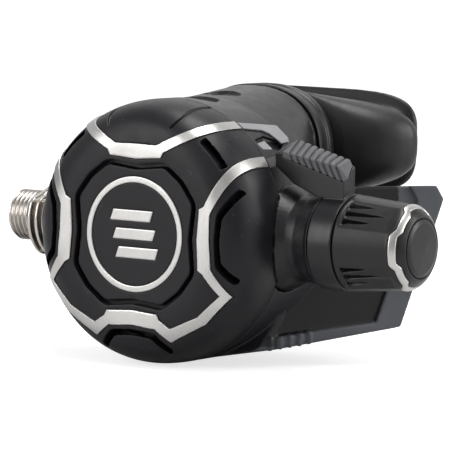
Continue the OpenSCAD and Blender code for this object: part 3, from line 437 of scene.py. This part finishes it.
def shoulder_radii(shares, angles):
    """The blend's radius about its own middle, by share of the way from drum to neck and by angle."""
    half_w, half_h, _ = NECK
    turn = np.linspace(0, np.pi, 181)
    across, up = np.abs(np.cos(turn)), np.sin(turn)
    root = 1 / (OVAL_POWER - 1)
    wide, tall = (half_w * across) ** (OVAL_POWER * root), (half_h * up) ** (OVAL_POWER * root)
    whole = (wide + tall) ** (1 / OVAL_POWER)
    oval_x = half_w * np.sign(np.cos(turn)) * (half_w * across) ** root / whole
    oval_z = half_h * (half_h * up) ** root / whole
    rows = []
    for share in shares:
        x = (1 - share) * CASE_R * np.cos(turn) + share * oval_x
        z = (1 - share) * CASE_R * up + share * oval_z
        rows.append(np.interp(angles, np.arctan2(z, x), np.hypot(x, z)))
    return np.array(rows)


def true_shoulder(piece, reach=0.35):
    """Moves points near the case's blend from drum to neck on to its exact form, over the neck's middle."""
    shares, angles = np.linspace(0, 1, 80), np.linspace(0, np.pi, 241)
    radii = shoulder_radii(shares, angles)
    points = points_of(piece)
    share = (points[:, 1] - DRUM_BACK) / (NECK_Y - 1 - DRUM_BACK)
    x, z = points[:, 0] - REACH, points[:, 2] - np.clip(share, 0, 1) * NECK[2]
    own, angle = np.hypot(x, z), np.arctan2(z, x)

    row = np.clip(share, 0, 1) * (len(shares) - 1.001)
    column = np.clip(angle, 0, np.pi) / np.pi * (len(angles) - 1.001)
    i, j = row.astype(int), column.astype(int)
    a, b = row - i, column - j
    before = (1 - b) * radii[i, j] + b * radii[i, j + 1]
    after = (1 - b) * radii[i + 1, j] + b * radii[i + 1, j + 1]
    true = (1 - a) * before + a * after

    over = (share > 0.01) & (share < 0.995) & (angle > 0.02) & (angle < np.pi - 0.02)
    scale = np.where(over & (np.abs(own - true) < reach), true / np.maximum(own, 1), 1)
    points[:, 2] += z * (scale - 1)
    points[:, 0] = REACH + x * scale
    move_points(piece, points)


def tuck_under_dome(piece, reach=0.45, depth=0.3):
    """Moves the points of the bosses that lie close over the cover's dome a little way into it."""
    boss_x, boss_z = 30, 18
    points = points_of(piece)
    across, up = points[:, 0] - REACH, points[:, 2]
    radius = np.hypot(across, up)
    out, rise = np.maximum(radius - FLAT_R, 0.01), np.maximum(SEAM_Y - points[:, 1], 0.01)
    share = dome_share(out, rise)
    off = np.abs((1 / share - 1) * np.hypot(out, rise) * share)
    near = (rise > 0.05) & (np.abs(across) > boss_x) & (np.abs(up) < boss_z) & (off < reach)
    scale = share - depth / np.hypot(out, rise)
    inward = (FLAT_R + out * scale) / radius
    points[:, 0] = np.where(near, REACH + across * inward, points[:, 0])
    points[:, 2] = np.where(near, up * inward, up)
    points[:, 1] = np.where(near, SEAM_Y - rise * scale, points[:, 1])
    move_points(piece, points)


def relax_where(piece, chosen, rounds):
    """Smooths the chosen points of a skin, so that the flats of a rounded form go."""
    group = piece.vertex_groups.new(name="relaxed")
    group.add(np.flatnonzero(chosen(points_of(piece))).tolist(), 1.0, "REPLACE")
    relax = piece.modifiers.new("relax", "SMOOTH")
    relax.factor = 0.5
    relax.iterations = rounds
    relax.vertex_group = group.name
    settle(piece)


def soften(piece, voxel, rounds=3, keep=1.0):
    """Rounds every edge of a closed form: an even skin of voxel millimetres, relaxed, then thinned out."""
    weld = piece.modifiers.new("weld", "WELD")
    weld.merge_threshold = 0.001 * MM
    skin = piece.modifiers.new("skin", "REMESH")
    skin.mode = "VOXEL"
    skin.voxel_size = voxel * MM
    skin.use_smooth_shade = True
    relax = piece.modifiers.new("relax", "SMOOTH")
    relax.factor = 0.5
    relax.iterations = rounds
    if keep < 1:
        thin = piece.modifiers.new("thin", "DECIMATE")
        thin.ratio = keep


# Edge length of the even skin in millimetres, rounds of relaxing, and the share of faces kept, by CAD node
SKINS = {
    "purge_ring": (0.14, 2, 0.5), "purge_badge": (0.14, 2, 0.5),
    "case_trim": (0.12, 2, 0.5), "trim_block": (0.12, 2, 0.5), "window_marker": (0.1, 1, 0.5),
    "knob_cap": (0.16, 3, 0.5),
    "venturi_lever": (0.2, 3, 0.6),
}
# Edge length of the even skin, and how far its curve stands out from the cover's
DOMED = {"front_cover": (0.22, 0), "cover_trim_upper": (0.16, 0.35), "cover_trim_lower": (0.16, 0.35)}


def add_cover():
    """The domed cover and its trim, with the flats of their curve taken out."""
    for node, (voxel, proud) in DOMED.items():
        piece = own_skin(node, voxel, 5, 0.5)
        true_dome(piece, proud)
        dressed(piece, node)


def add_button():
    """The purge button, whose stop ends a little further from the guard than the solid's."""
    piece = own_skin("purge_button", 0.25, 3, 0.5)
    stop_y, stop_r, reach, room = GUARD_Y - PURGE_TRAVEL - 0.1, 6, 0.35, 0.25
    points = points_of(piece)
    radius = np.hypot(points[:, 0] - REACH, points[:, 2])
    near = (radius < stop_r) & (np.abs(points[:, 1] - stop_y) < reach)
    points[:, 1] -= np.where(near, room, 0)
    move_points(piece, points)
    dressed(piece, "purge_button")


def add_case():
    """The case, with its drum and shoulder turned true, its neck relaxed and its bosses tucked in."""
    piece = own_skin("case", 0.26, 5, 0.6)
    true_drum(piece, CASE_R)

    def neck(points):
        """Where the points are on the neck or its shoulder, but not in the recess on its top."""
        across, back, up = (points - AXIS).T
        recess = (np.abs(across) < 8.5) & (back < 21) & (up > 20)
        between = (back > DRUM_BACK + 1.5) & (back < NECK_Y - 1.2)
        return between & (up > -9) & (np.abs(across) < 34) & ~recess

    relax_where(piece, neck, 40)
    true_shoulder(piece)
    tuck_under_dome(piece)
    dressed(piece, "case")


def outlet_cutters():
    """What is taken out of the tee's two ends, so that each outlet keeps an even wall."""
    low, tip = np.array((49.3, 32.4, -25.6)), np.array((54.9, 44.3, 9.4))
    top = np.array((53.4, 42.5, 13.1))
    back_top, back_low = np.array((42.5, 52.2, 11.1)), np.array((38, 45.2, -22))
    outwards = np.array((1, 1.05, -0.5)) / math.hypot(1, 1.05, 0.5)
    outline = [low + (-2.4, 1, 2.2), tip + (-2.4, 0.6, -0.4), top + (-1.8, 0.8, -2)]
    outline += [back_top + (0, -2, -2.4), back_low + (0.2, -2, 2.4)]
    cutters = []
    for side in (-1, 1):
        corners = [(corner + reach * outwards) * (side, 1, 1) for corner in outline for reach in (-1, 4)]
        cutters.append(hull_of("outlet", corners))
    return cutters


def add_tee():
    """The exhaust tee, with shade painted near-black into its hollows, told apart from the grey rim, lip
    and back.
    """
    wing_foot, wing_slope, wing_lean = (25.42, -3, -31.4), 1.455, 0.107
    wing_side, wing_low, wing_back = 26, -29.4, 34
    drum_side, drum_r, drum_low = 26.5, 39.6, -37.4
    low_side, low_end, side_slope, beside_low, beside_back = 28.7, -27.6, 0.42, -30.2, 30
    piece = own_skin("exhaust_tee", 0.36, 5, 0.7, outlet_cutters())
    points = points_of(piece) - AXIS
    normal = np.array((wing_slope, -1, wing_lean)) / math.hypot(wing_slope, 1, wing_lean)
    across, back, up = np.abs(points[:, 0]), points[:, 1], points[:, 2]
    depth = -(np.stack([across, back, up], -1) - wing_foot) @ normal

    # Painted shade: the wing's recessed front, the part round the case's drum and the faces beside it get a
    # shade share, which the material turns near-black.
    within = (depth > 0.2) & (depth < 2.2)
    in_wing = (across > wing_side) & (up > wing_low) & (back < wing_back) & within
    share = np.where(in_wing, np.clip((depth - 0.35) / 0.5, 0, 1), 0)
    drum = (across < drum_side) & (np.hypot(across, up) < drum_r) & (up > drum_low) & (back < DRUM_BACK)
    side = low_side + side_slope * np.clip(up - low_end, 0, 40)
    beside = (across < side) & (up > beside_low) & (back < beside_back)
    share = np.maximum(share, np.where(drum | beside, 0.85, 0))
    # Stores the painted shade share on the points.
    hollow = piece.data.attributes.new("hollow", "FLOAT", "POINT")
    hollow.data.foreach_set("value", share.astype(np.float32))
    dressed(piece, "exhaust_tee")


KNOB_X = 54.1           # the knob's inner end, from the cover's axis
KNOB_LENGTH = 20
KNOB_ROUND = 4.6        # length of the rounded end
KNOB_SIDE_R, KNOB_END_R = 11.5, 8.5
GRIP_PITCH = 90         # degrees between two grips, the first of which is at 45


def knob_radius(x):
    """Radius of the knob's body at x from its inner end."""
    start = np.interp(x, (0, 0.1, 0.5, KNOB_LENGTH - KNOB_ROUND), (12.5, 12.75, 12.9, KNOB_SIDE_R))
    share = np.clip((x - KNOB_LENGTH + KNOB_ROUND) / KNOB_ROUND, 0, 1)
    return start - (KNOB_SIDE_R - KNOB_END_R) * share ** 2.2


def smooth(value, low, high):
    """0 up to low and 1 from high on, eased between them."""
    share = np.clip((value - low) / (high - low), 0, 1)
    return share * share * (3 - 2 * share)


def from_grip(turn):
    """Degrees from the middle of the nearest grip."""
    return np.degrees(turn) % GRIP_PITCH - GRIP_PITCH / 2


def wave_middle(turn):
    """The trim's line round the knob: nearer to the knob's end at each grip."""
    return 17.3 + 1.1 * (1 - smooth(np.abs(from_grip(turn)), 14, 27))


def wave_half(turn):
    """Half of the trim's width along the knob, less where the knob's end curves in."""
    return 0.93 - 0.24 * (1 - smooth(np.abs(from_grip(turn)), 12, 25))


def add_knob():
    """The adjusting knob, fluted at each grip with three claw-shaped slots."""
    turn = np.linspace(0, 2 * np.pi, 720, endpoint=False)
    aside = from_grip(turn)
    cap_seat, cap_depth, shaft_r, drive_r, drive_end = 8.0, 1.4, 3.8, 2.72, 12.9
    inner_r, inner_end = 7.7, 6.4
    flute_half, flute_depth, channel_depth = 22, 0.75, 0.45
    claw_start, claw_side, claw_half, claw_depth = 1.5, 13.2, 1.05, 1.5

    def outside(x):
        """Radius of the body at x by turn, less its flutes, claw-shaped slots and channel."""
        radius = np.broadcast_to(knob_radius(x), turn.shape)
        flute = flute_depth * np.clip(1 - (aside / flute_half) ** 2, 0, 1)
        flute = flute * smooth(x, 0.9, 2.1) * (1 - smooth(x, 14.5, 18.5))
        cut = np.zeros_like(turn)
        for side, length in ((-1, 7.6), (0, 11.6), (1, 7.6)):
            share = np.clip((x - claw_start) / length, 0, 1)
            half = claw_half * (1 - share) ** 0.6 + 1e-6
            off = (aside - claw_side * side - 0.25 * x) * np.pi / 180 * radius
            claw = np.clip(1 - (off / half) ** 2, 0, 1) * (share < 1)
            cut = np.maximum(cut, claw_depth * smooth(x, 1.4, 1.9) * claw)
        channel = channel_depth * (np.abs(x - wave_middle(turn)) < wave_half(turn) + 0.15)
        return radius - flute - cut - channel

    def sixsided(radius):
        """Radius by turn of a hexagon whose corners are at radius."""
        return radius * math.cos(math.pi / 6) / np.cos(turn % (np.pi / 3) - np.pi / 6)

    rows = [(x, outside(x)) for x in np.arange(0, KNOB_LENGTH - 0.02, 0.1)]
    rows += [(KNOB_LENGTH, outside(KNOB_LENGTH)), (KNOB_LENGTH, cap_seat + 0.1)]
    rows += [(KNOB_LENGTH - 0.1, cap_seat), (KNOB_LENGTH - cap_depth, cap_seat)]
    rows += [(KNOB_LENGTH - cap_depth, shaft_r), (drive_end, shaft_r), (drive_end, sixsided(drive_r))]
    rows += [(inner_end, sixsided(drive_r)), (inner_end, inner_r), (0.2, inner_r), (0, inner_r + 0.2)]
    dressed(knob_skin("knob_body", rows, turn), "adjusting_knob")


def add_knob_trim():
    """The wavy silver band that lies in the knob's channel."""
    turn = np.linspace(0, 2 * np.pi, 480, endpoint=False)
    crown = [(0, 0.2), (0.54, 0.19), (0.9, 0.15), (1, 0.06), (1, -0.4)]
    section = [(-aside, proud) for aside, proud in crown[:0:-1]] + crown
    rows = []
    for aside, proud in section:
        x = wave_middle(turn) + wave_half(turn) * aside
        rows.append((x, knob_radius(x) + proud))
    dressed(knob_skin("knob_wave", rows, turn), "knob_trim")


def knob_skin(name, rows, turn):
    """A closed skin about the knob's axis through rows of (x from the knob's inner end, radius)."""
    rings = []
    for x, radius in rows:
        x, radius = np.broadcast_to(x, turn.shape), np.broadcast_to(radius, turn.shape)
        rings.append(np.stack([REACH + KNOB_X + x, -radius * np.cos(turn), radius * np.sin(turn)], -1))
    return skin_through(name, rings, closed=True)


def add_grip():
    """The venturi lever's grip: a ridge crossed by rounded ribs that bend over its front edge."""
    start, end, front, back = 33.8, 54.4, -6.1, -0.8
    edge_end, edge_low, edge_high = 51.6, 20.5, 23.4
    corners = [(start, front, 21.9), (start, front, edge_high), (edge_end, front, edge_low)]
    corners += [(end, front, 17.4), (53.2, front, 16.4)]
    corners += [(start, front + 0.9, 21.9), (start, front + 0.9, edge_high), (53.2, front + 0.9, 16.4)]
    corners += [(35.2, back, 24.2), (35.4, back, 26.6), (51.8, back, 22.1), (52.6, back, 20.5)]
    corners += [(51.4, back, 19), (35.4, back - 0.4, 26.6), (51.8, back - 0.4, 22.1)]
    piece = hull_of("grip_ribs", corners)
    soften(piece, 0.11, 5)
    settle(piece)

    ribs, slant, groove = 9, 0.6, 0.75
    pitch = (end - start - 2) / ribs
    points = points_of(piece)
    normals = np.empty(points.size)
    piece.data.vertices.foreach_get("normal", normals)
    x, z = points[:, 0] - REACH, points[:, 2]
    edge = edge_high - (x - start) * (edge_high - edge_low) / (edge_end - start)
    count = (x - start - slant * np.clip(edge - z, 0, None)) / pitch
    inside = (count > 0.5) & (count < ribs - 0.5)
    depth = np.where(inside, groove * np.abs(2 * (count % 1) - 1) ** 4, 0)
    move_points(piece, points - normals.reshape(-1, 3) * depth[:, None])
    piece.data.shade_smooth()
    dressed(piece, "venturi_grip")


def oval_ring(y, half_w, half_h, z, power, bow=0.0, bow_w=None, around=160):
    """A squarish oval seen from the front, bowed so that its sides lie further back than its middle."""
    turn = np.linspace(0, 2 * np.pi, around, endpoint=False)
    across = half_w * np.sign(np.cos(turn)) * np.abs(np.cos(turn)) ** (2 / power)
    up = half_h * np.sign(np.sin(turn)) * np.abs(np.sin(turn)) ** (2 / power)
    back = y - bow * (1 - (across / (bow_w or half_w)) ** 2)
    return np.stack([REACH + across, back, z + up], -1)


def between_rows(rows, spacing):
    """Rows of numbers filled in along their first one by smooth curves that don't overshoot."""
    rows = np.asarray(rows, float)
    at, values = rows[:, 0], rows[:, 1:]
    gap = np.diff(at)[:, None]
    slope = np.diff(values, axis=0) / gap
    tangent = np.zeros_like(values)
    tangent[0], tangent[-1] = slope[0], slope[-1]
    with np.errstate(divide="ignore", invalid="ignore"):
        mean = 2 * slope[:-1] * slope[1:] / (slope[:-1] + slope[1:])
    tangent[1:-1] = np.where(slope[:-1] * slope[1:] > 0, mean, 0)
    filled = []
    for i in range(len(at) - 1):
        for t in np.linspace(0, 1, max(2, int(gap[i, 0] / spacing)), endpoint=False):
            a, b = t * t * (3 - 2 * t), t * (1 - t)
            lean = gap[i] * b * ((1 - t) * tangent[i] - t * tangent[i + 1])
            filled.append((at[i] + t * gap[i, 0], *(values[i] * (1 - a) + values[i + 1] * a + lean)))
    return filled + [tuple(rows[-1])]


def mouthpiece_outside(flange_w, flange_h, flange_z):
    """Rows of the outside: place along Y, half width, half height, middle, squareness and bow."""
    neck_w, neck_h, neck_z = NECK
    return [
        (32.0, neck_w - 0.4, neck_h - 0.4, neck_z, OVAL_POWER, 0),
        (39.9, neck_w - 0.4, neck_h - 0.4, neck_z, OVAL_POWER, 0),
        (40.4, neck_w - 1.6, neck_h - 2, neck_z, OVAL_POWER, 0),
        (41.3, neck_w - 1.3, neck_h - 1.9, neck_z + 0.2, 2.35, 0),
        (42.4, 23.2, 16.9, 20.3, 2.45, 0.1),
        (45, 28.6, 15.9, 20.9, 2.6, 0.4),
        (49, 33.2, 14.6, 21.5, 2.8, 0.9),
        (53.5, 36.1, 13.5, 21.9, 3, 1.4),
        (57.5, 37.2, 12.6, 22.2, 3.2, 2),
        (59.6, 36.9, 12, 22.3, 3.2, 2.4),
        (60.6, 35.8, 11.6, 22.3, 3.3, 2.7),
        (61.3, 33.4, 11.4, 22.4, 3.5, 3),
        (62.4, 32.4, 12.6, 22.5, 4, 3.2),
        (64, flange_w, flange_h, flange_z, 4.4, 3.6),
        (RIM_Y, flange_w - 0.6, flange_h - 0.6, flange_z, 4.3, 4.2),
    ]


def add_mouthpiece():
    """The rubber mouthpiece: collar, front bulge, valley, lip flange, airway and two bite tabs."""
    neck_w, neck_h, neck_z = NECK
    flange_w, flange_h, flange_z = 33.6, 14.8, 22.5
    rings = [oval_ring(*row) for row in between_rows(mouthpiece_outside(flange_w, flange_h, flange_z), 0.5)]
    air_w, air_h, air_z = 12, 7, 22.6
    lip_w = flange_w - 0.6
    for back, half_w, half_h, z, power in (
        (RIM_Y + 0.3, lip_w - 1, flange_h - 1.8, flange_z, 4),
        (RIM_Y, lip_w - 4, flange_h - 3.4, flange_z, 3.5),
        (RIM_Y - 0.4, 22, 9, flange_z - 0.6, 3),
        (RIM_Y - 0.9, 15, 7.8, flange_z - 1.2, 2.6),
        (RIM_Y - 2, air_w + 0.3, air_h + 0.1, air_z, 2.4),
    ):
        rings.append(oval_ring(back, half_w, half_h, z, power, 4.2, lip_w))
    for back, bow in ((62, 3.4), (58, 2), (54, 0.7), (48, 0), (42.6, 0)):
        rings.append(oval_ring(back, air_w, air_h, air_z, OVAL_POWER, bow, lip_w))
    for back in (41.9, 37, 32.0):
        rings.append(oval_ring(back, neck_w - 3.3, neck_h - 3.3, neck_z, OVAL_POWER))
    piece = skin_through("mouthpiece_rubber", rings, closed=True)
    add_bite_tabs(piece)
    soften(piece, 0.36, 5, 0.5)
    settle(piece)
    dressed(piece, "mouthpiece")


def add_bite_tabs(piece):
    """Two tabs for the teeth: a web, an end wall and an outer wall on each side."""
    tab_end = 80.2
    blocks = [
        ((10.5, 57, 21.2), (22, tab_end, 24.0)), ((10.5, tab_end - 2.4, 18.8), (22, tab_end, 26.4)),
        ((19.8, 57, 17.6), (22, tab_end, 27.6)),
    ]
    shape = bmesh.new()
    shape.from_mesh(piece.data)
    for low, high in blocks:
        for side in (-1, 1):
            middle, size = (Vector(low) + Vector(high)) / 2, Vector(high) - Vector(low)
            middle.x = REACH + side * middle.x
            bmesh.ops.create_cube(shape, size=1, matrix=Matrix.LocRotScale(middle * MM, None, size * MM))
    shape.to_mesh(piece.data)
    shape.free()


def add_clamp():
    """The band round the mouthpiece's collar, with a shallow groove and rounded edges."""
    neck_w, neck_h, neck_z = NECK
    front, back, crest, groove, inside = 32.5, 39.9, 0.5, 0.15, -0.3
    corners = [(crest, front), (crest, front + 2.1), (groove, front + 2.5), (groove, back - 2.5)]
    corners += [(crest, back - 2.1), (crest, back), (inside, back), (inside, front)]
    rings = []
    for grow, y in eased(corners, 0.25):
        rings.append(oval_ring(y, neck_w + grow, neck_h + grow - 0.1, neck_z, OVAL_POWER))
    dressed(skin_through("mouthpiece_band", rings, closed=True), "mouthpiece_clamp")


def add_inlet():
    """The hose fitting: a rolled 9/16-18 thread, three fins with wrench flats, and the stem's bore."""
    thread_r, root_r, pitch = 7.144, 6.28, 25.4 / 18
    fin_r, hub_r, fin_w, fin_step, fin_x, half_flat = 11.3, 8.1, 1.05, 2.45, -40.8, 8.5
    flat_turn = math.radians(20)
    start, base, spigot_r, spigot_x = -REACH, fin_x - 2 * fin_step - fin_w, 5.85, -35.2
    turn = np.linspace(0, 2 * np.pi, 216, endpoint=False)

    def thread(x):
        """Radius of the thread at x by turn, with its chamfered start and its run-out."""
        crest = np.abs(2 * (((x - start) / pitch - turn / (2 * np.pi)) % 1) - 1)
        depth = np.clip((crest - 0.14) / 0.62, 0, 1)
        tall = np.clip((base - 2.3 - x) / 0.7, 0, 1)
        radius = root_r + (thread_r - root_r) * (1 - depth) * tall
        return np.minimum(radius, root_r - 0.35 + 1.1 * (x - start))

    def flatted(radius):
        """The radius by turn, cut off by two flats with eased corners."""
        flat = half_flat / np.maximum(np.abs(np.sin(turn - flat_turn)), 1e-3)
        return (radius ** -36.0 + flat ** -36.0) ** (-1 / 36)

    rows = [(x, thread(x)) for x in np.arange(start, base - 1.2, 0.1)]
    rows += [(base - 1.2, root_r), (base - 0.25, root_r), (base - 0.05, root_r + 0.2), (base, hub_r - 0.6)]
    for i in (2, 1, 0):
        high, low = fin_x - i * fin_step, fin_x - i * fin_step - fin_w
        if i < 2:
            rows += [(low - 0.25, hub_r), (low - 0.05, hub_r + 0.08)]
        rows += [(low, hub_r + 0.3), (low, fin_r - 0.3), (low + 0.04, fin_r - 0.12), (low + 0.16, fin_r)]
        rows += [(high - 0.16, fin_r), (high - 0.04, fin_r - 0.12), (high, fin_r - 0.3)]
        rows += [(high, hub_r + 0.3)]
        if i > 0:
            rows += [(high + 0.05, hub_r + 0.08), (high + 0.25, hub_r)]
    rows += [(fin_x, spigot_r + 0.2), (fin_x + 0.2, spigot_r), (spigot_x - 0.2, spigot_r)]
    rows += [(spigot_x, spigot_r - 0.2), (spigot_x, 2.4), (spigot_x - 0.2, 2.2)]
    rows += [(start + 8.6, 2.2), (start + 8, 2.5), (start + 8, 4.2)]
    rows += [(start + 7.8, 4.4), (start + 0.6, 4.4), (start + 0.15, 4.75), (start, 5.0)]
    rings = []
    for x, radius in rows:
        radius = radius * np.ones_like(turn)
        if base <= x <= fin_x:
            radius = flatted(radius)
        along = np.full_like(turn, REACH + x)
        rings.append(np.stack([along, radius * np.cos(turn), radius * np.sin(turn)], -1))
    dressed(skin_through("inlet_thread", rings, closed=True), "inlet_fitting")


def add_seals():
    """The three O-rings and the valve's seat."""
    ring_wire, seat_bore = 0.42, 0.2
    o_rings = {"inlet_o_ring": (6.35, -40), "orifice_o_ring": (5.4, -32.3), "screw_o_ring": (5.35, 42.9)}
    loop = np.linspace(0, 2 * np.pi, 20, endpoint=False)
    for node, (radius, x) in o_rings.items():
        outline = [(radius + ring_wire * math.cos(a), x + ring_wire * math.sin(a)) for a in loop]
        dressed(skin_through(node + "_rubber", turned(outline, 0), closed=True), node)

    front, back = -26.4, -24.5
    seat = [(seat_bore, front), (3.3, front), (3.46, front + 0.08), (3.5, front + 0.3)]
    seat += [(3.5, back - 0.2), (3.4, back), (seat_bore, back)]
    dressed(skin_through("valve_seat_rubber", turned(seat, 0)), "valve_seat")


def add_flaps():
    """The two exhaust valves: a thin round flap on a beaded stem."""
    flap = [(0.2, 14.95), (4, 15.0), (9.2, 14.9), (9.8, 14.78), (10, 14.6), (9.8, 14.36), (9.2, 14.22)]
    stem = [(2.2, 14.2), (1.6, 13.9), (1.5, 13.4), (1.5, 11.8)]
    bead = [(1.7, 11.45), (2.1, 11.3), (2.2, 11), (2, 10.6), (1.4, 10.4), (0.2, 10.4)]
    port_side, port_z = 13, -18.5
    for node, side in (("exhaust_valve_left", -port_side), ("exhaust_valve_right", port_side)):
        rings = turned(flap + stem + bead, 1, (REACH + side, 0, port_z), 80)
        dressed(skin_through(node + "_rubber", rings), node)


def add_diaphragm():
    """The diaphragm: a round web with a fold and a bead round its edge."""
    inner, outer, fold, hole, flat_r, still_r, moved_r = 6.7, 7.5, 1.8, 0.3, 12, 28, 15
    web = [(hole, inner), (17, inner), (19.5, inner - fold), (22, inner - fold), (24.5, inner)]
    web += [(29.9, inner), (30.3, 6.5), (32.4, 6.5), (32.4, 8), (30.3, 8), (29.9, outer)]
    web += [(24.5, outer), (22, outer - fold), (19.5, outer - fold), (17, outer), (hole, outer)]
    outline = [(hole, inner), (flat_r, inner)] + eased(web, 0.8, 5)[5:-5] + [(flat_r, outer), (hole, outer)]
    outline = [(radius, SEAM_Y - height) for radius, height in outline]
    piece = skin_through("diaphragm_rubber", turned(outline, 1, AXIS, 128))
    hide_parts("diaphragm")
    paint(piece, MATERIALS[SLOTS["diaphragm"]])
    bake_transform(piece)
    points = points_of(piece)


def add_springs():
    """The purge spring and the poppet's spring, as wound wire."""
    wire = 0.45
    length = 4.3
    coil = wound(start_r=8.6, end_r=6.4, wire=wire, turns=2.25, length=length)
    rings = np.stack([REACH + coil[..., 0], GUARD_Y - coil[..., 2], coil[..., 1]], -1)
    piece = dressed(skin_through("purge_coil", rings), "purge_spring")
    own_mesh(piece)

    foot_x, length, travel = 20.42, 15.48, 0.85
    coil = wound(start_r=4.4, end_r=4.4, wire=wire, turns=7, length=length)
    rings = np.stack([REACH + foot_x + coil[..., 2], coil[..., 1], -coil[..., 0]], -1)
    piece = dressed(skin_through("poppet_coil", rings), "poppet_spring")
    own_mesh(piece)


# ---------------------------------------------------------------- floor and light


def make_floor():
    """A pale floor that the camera sees as near white and that keeps the object's shadow."""
    floor_size = 12
    bpy.ops.mesh.primitive_plane_add(size=floor_size, location=(0, 0, lo0.z - 0.2 * MM))
    floor = bpy.context.object
    floor.name = "floor"
    s = Shader("floor_paper", Roughness=0.9, **{"Specular IOR Level": 0.1})
    clouds = s.spread(s.noise(60, detail=2), 0, 1)
    s.give("Base Color", s.mixed(clouds, (0.8, 0.8, 0.8), (0.83, 0.83, 0.83)))
    glow = s.node("Emission", {"Color": (1, 1, 1, 1), "Strength": 0.72})
    ray = s.node("LightPath")
    dimmed = s.node("MixShader", {0: ray.outputs["Is Camera Ray"]})
    s.tree.links.new(glow.outputs[0], dimmed.inputs[2])
    both = s.node("AddShader")
    s.tree.links.new(s.surface.outputs[0], both.inputs[0])
    s.tree.links.new(dimmed.outputs[0], both.inputs[1])
    s.tree.links.new(both.outputs[0], s.tree.nodes["Material Output"].inputs["Surface"])
    paint(floor, s.material)


# Directions in which the mirrored studio is darker by a share, or brighter where the share is below 0, and
# the cosines within which the share is whole and beyond which it is nothing
STUDIO_LOBES = (
    ((0.62, -0.45, 0.62), 0.5, 0.97, 0.86),
    ((0.07, 0.42, 0.9), 0.5, 0.97, 0.88),
    ((0.4, 0.72, 0.56), 0.35, 0.98, 0.9),
    ((-0.5, -0.15, 0.85), 0.5, 0.96, 0.8),
    ((0.97, 0.12, 0.2), -2.6, 0.97, 0.85),
)


def make_world():
    """White to the camera, dim to soft surfaces, and a studio of uneven brightness to glossy ones."""
    world = bpy.data.worlds.new("studio")
    world.use_nodes = True
    bpy.context.scene.world = world
    nodes, links = world.node_tree.nodes, world.node_tree.links
    background = nodes["Background"]
    path = nodes.new("ShaderNodeLightPath")
    place = nodes.new("ShaderNodeSeparateXYZ")
    around = nodes.new("ShaderNodeTexCoord").outputs["Generated"]
    links.new(around, place.inputs["Vector"])

    def ramp(value, low, high, from_low=0.0, from_high=1.0):
        """Eased from low to high while the value goes from from_low to from_high."""
        made = nodes.new("ShaderNodeMapRange")
        made.interpolation_type = "SMOOTHSTEP"
        made.inputs["From Min"].default_value = from_low
        made.inputs["From Max"].default_value = from_high
        for key, end in (("To Min", low), ("To Max", high)):
            if isinstance(end, bpy.types.NodeSocket):
                links.new(end, made.inputs[key])
            else:
                made.inputs[key].default_value = end
        links.new(value, made.inputs["Value"])
        return made.outputs["Result"]

    def lobe(direction, depth, narrow, wide):
        """1, less depth where a ray points within the cosine narrow of a direction, eased off to wide."""
        facing = nodes.new("ShaderNodeVectorMath")
        facing.operation = "DOT_PRODUCT"
        links.new(around, facing.inputs[0])
        facing.inputs[1].default_value = Vector(direction).normalized()
        return ramp(facing.outputs["Value"], 1.0, 1 - depth, wide, narrow)

    def times(one, other):
        made = nodes.new("ShaderNodeMath")
        made.operation = "MULTIPLY"
        links.new(one, made.inputs[0])
        links.new(other, made.inputs[1])
        return made.outputs[0]

    overhead = ramp(place.outputs["Z"], 0.42, 1.0, 0.05, 0.75)
    behind = ramp(place.outputs["Z"], 0.6, 1.0, 0, 0.4)
    mirrored = ramp(place.outputs["Y"], overhead, behind, 0.3, 0.85)
    for values in STUDIO_LOBES:
        mirrored = times(mirrored, lobe(*values))
    level = ramp(path.outputs["Is Camera Ray"], ramp(path.outputs["Is Glossy Ray"], 0.34, mirrored), 1.0)
    links.new(level, background.inputs["Strength"])
    background.inputs["Color"].default_value = (1, 1, 1, 1)


def add_softbox(name, place, size, power):
    """A rectangular lamp, in metres and watts, that points at the object."""
    data = bpy.data.lights.new(name, "AREA")
    data.shape = "RECTANGLE"
    data.size, data.size_y = size
    data.energy = power
    lamp = bpy.data.objects.new(name, data)
    bpy.context.scene.collection.objects.link(lamp)
    lamp.location = place
    aim = Vector((0.06, 0.02, 0)) - Vector(place)
    lamp.rotation_euler = aim.to_track_quat("-Z", "Y").to_euler()


def make_stage():
    """The floor and soft studio light."""
    bpy.context.scene.view_settings.view_transform = "Standard"
    make_floor()
    make_world()
    add_softbox("top_softbox", (0.12, 0.06, 0.75), (0.6, 0.35), 5)
    add_softbox("front_softbox", (-0.4, -0.75, 0.3), (0.35, 0.6), 3)
    add_softbox("side_softbox", (0.75, 0.45, 0.35), (0.2, 0.6), 3)


# ---------------------------------------------------------------- the object

make_camera()
for node, piece in NODES.items():
    paint(piece, MATERIALS[SLOTS[node]])
for node, (voxel, rounds, keep) in SKINS.items():
    soften(NODES[node], voxel, rounds, keep)
add_cover()
add_button()
add_case()
add_tee()
add_knob()
add_knob_trim()
add_grip()
add_mouthpiece()
add_clamp()
add_inlet()
add_seals()
add_flaps()
add_diaphragm()
add_springs()
make_stage()
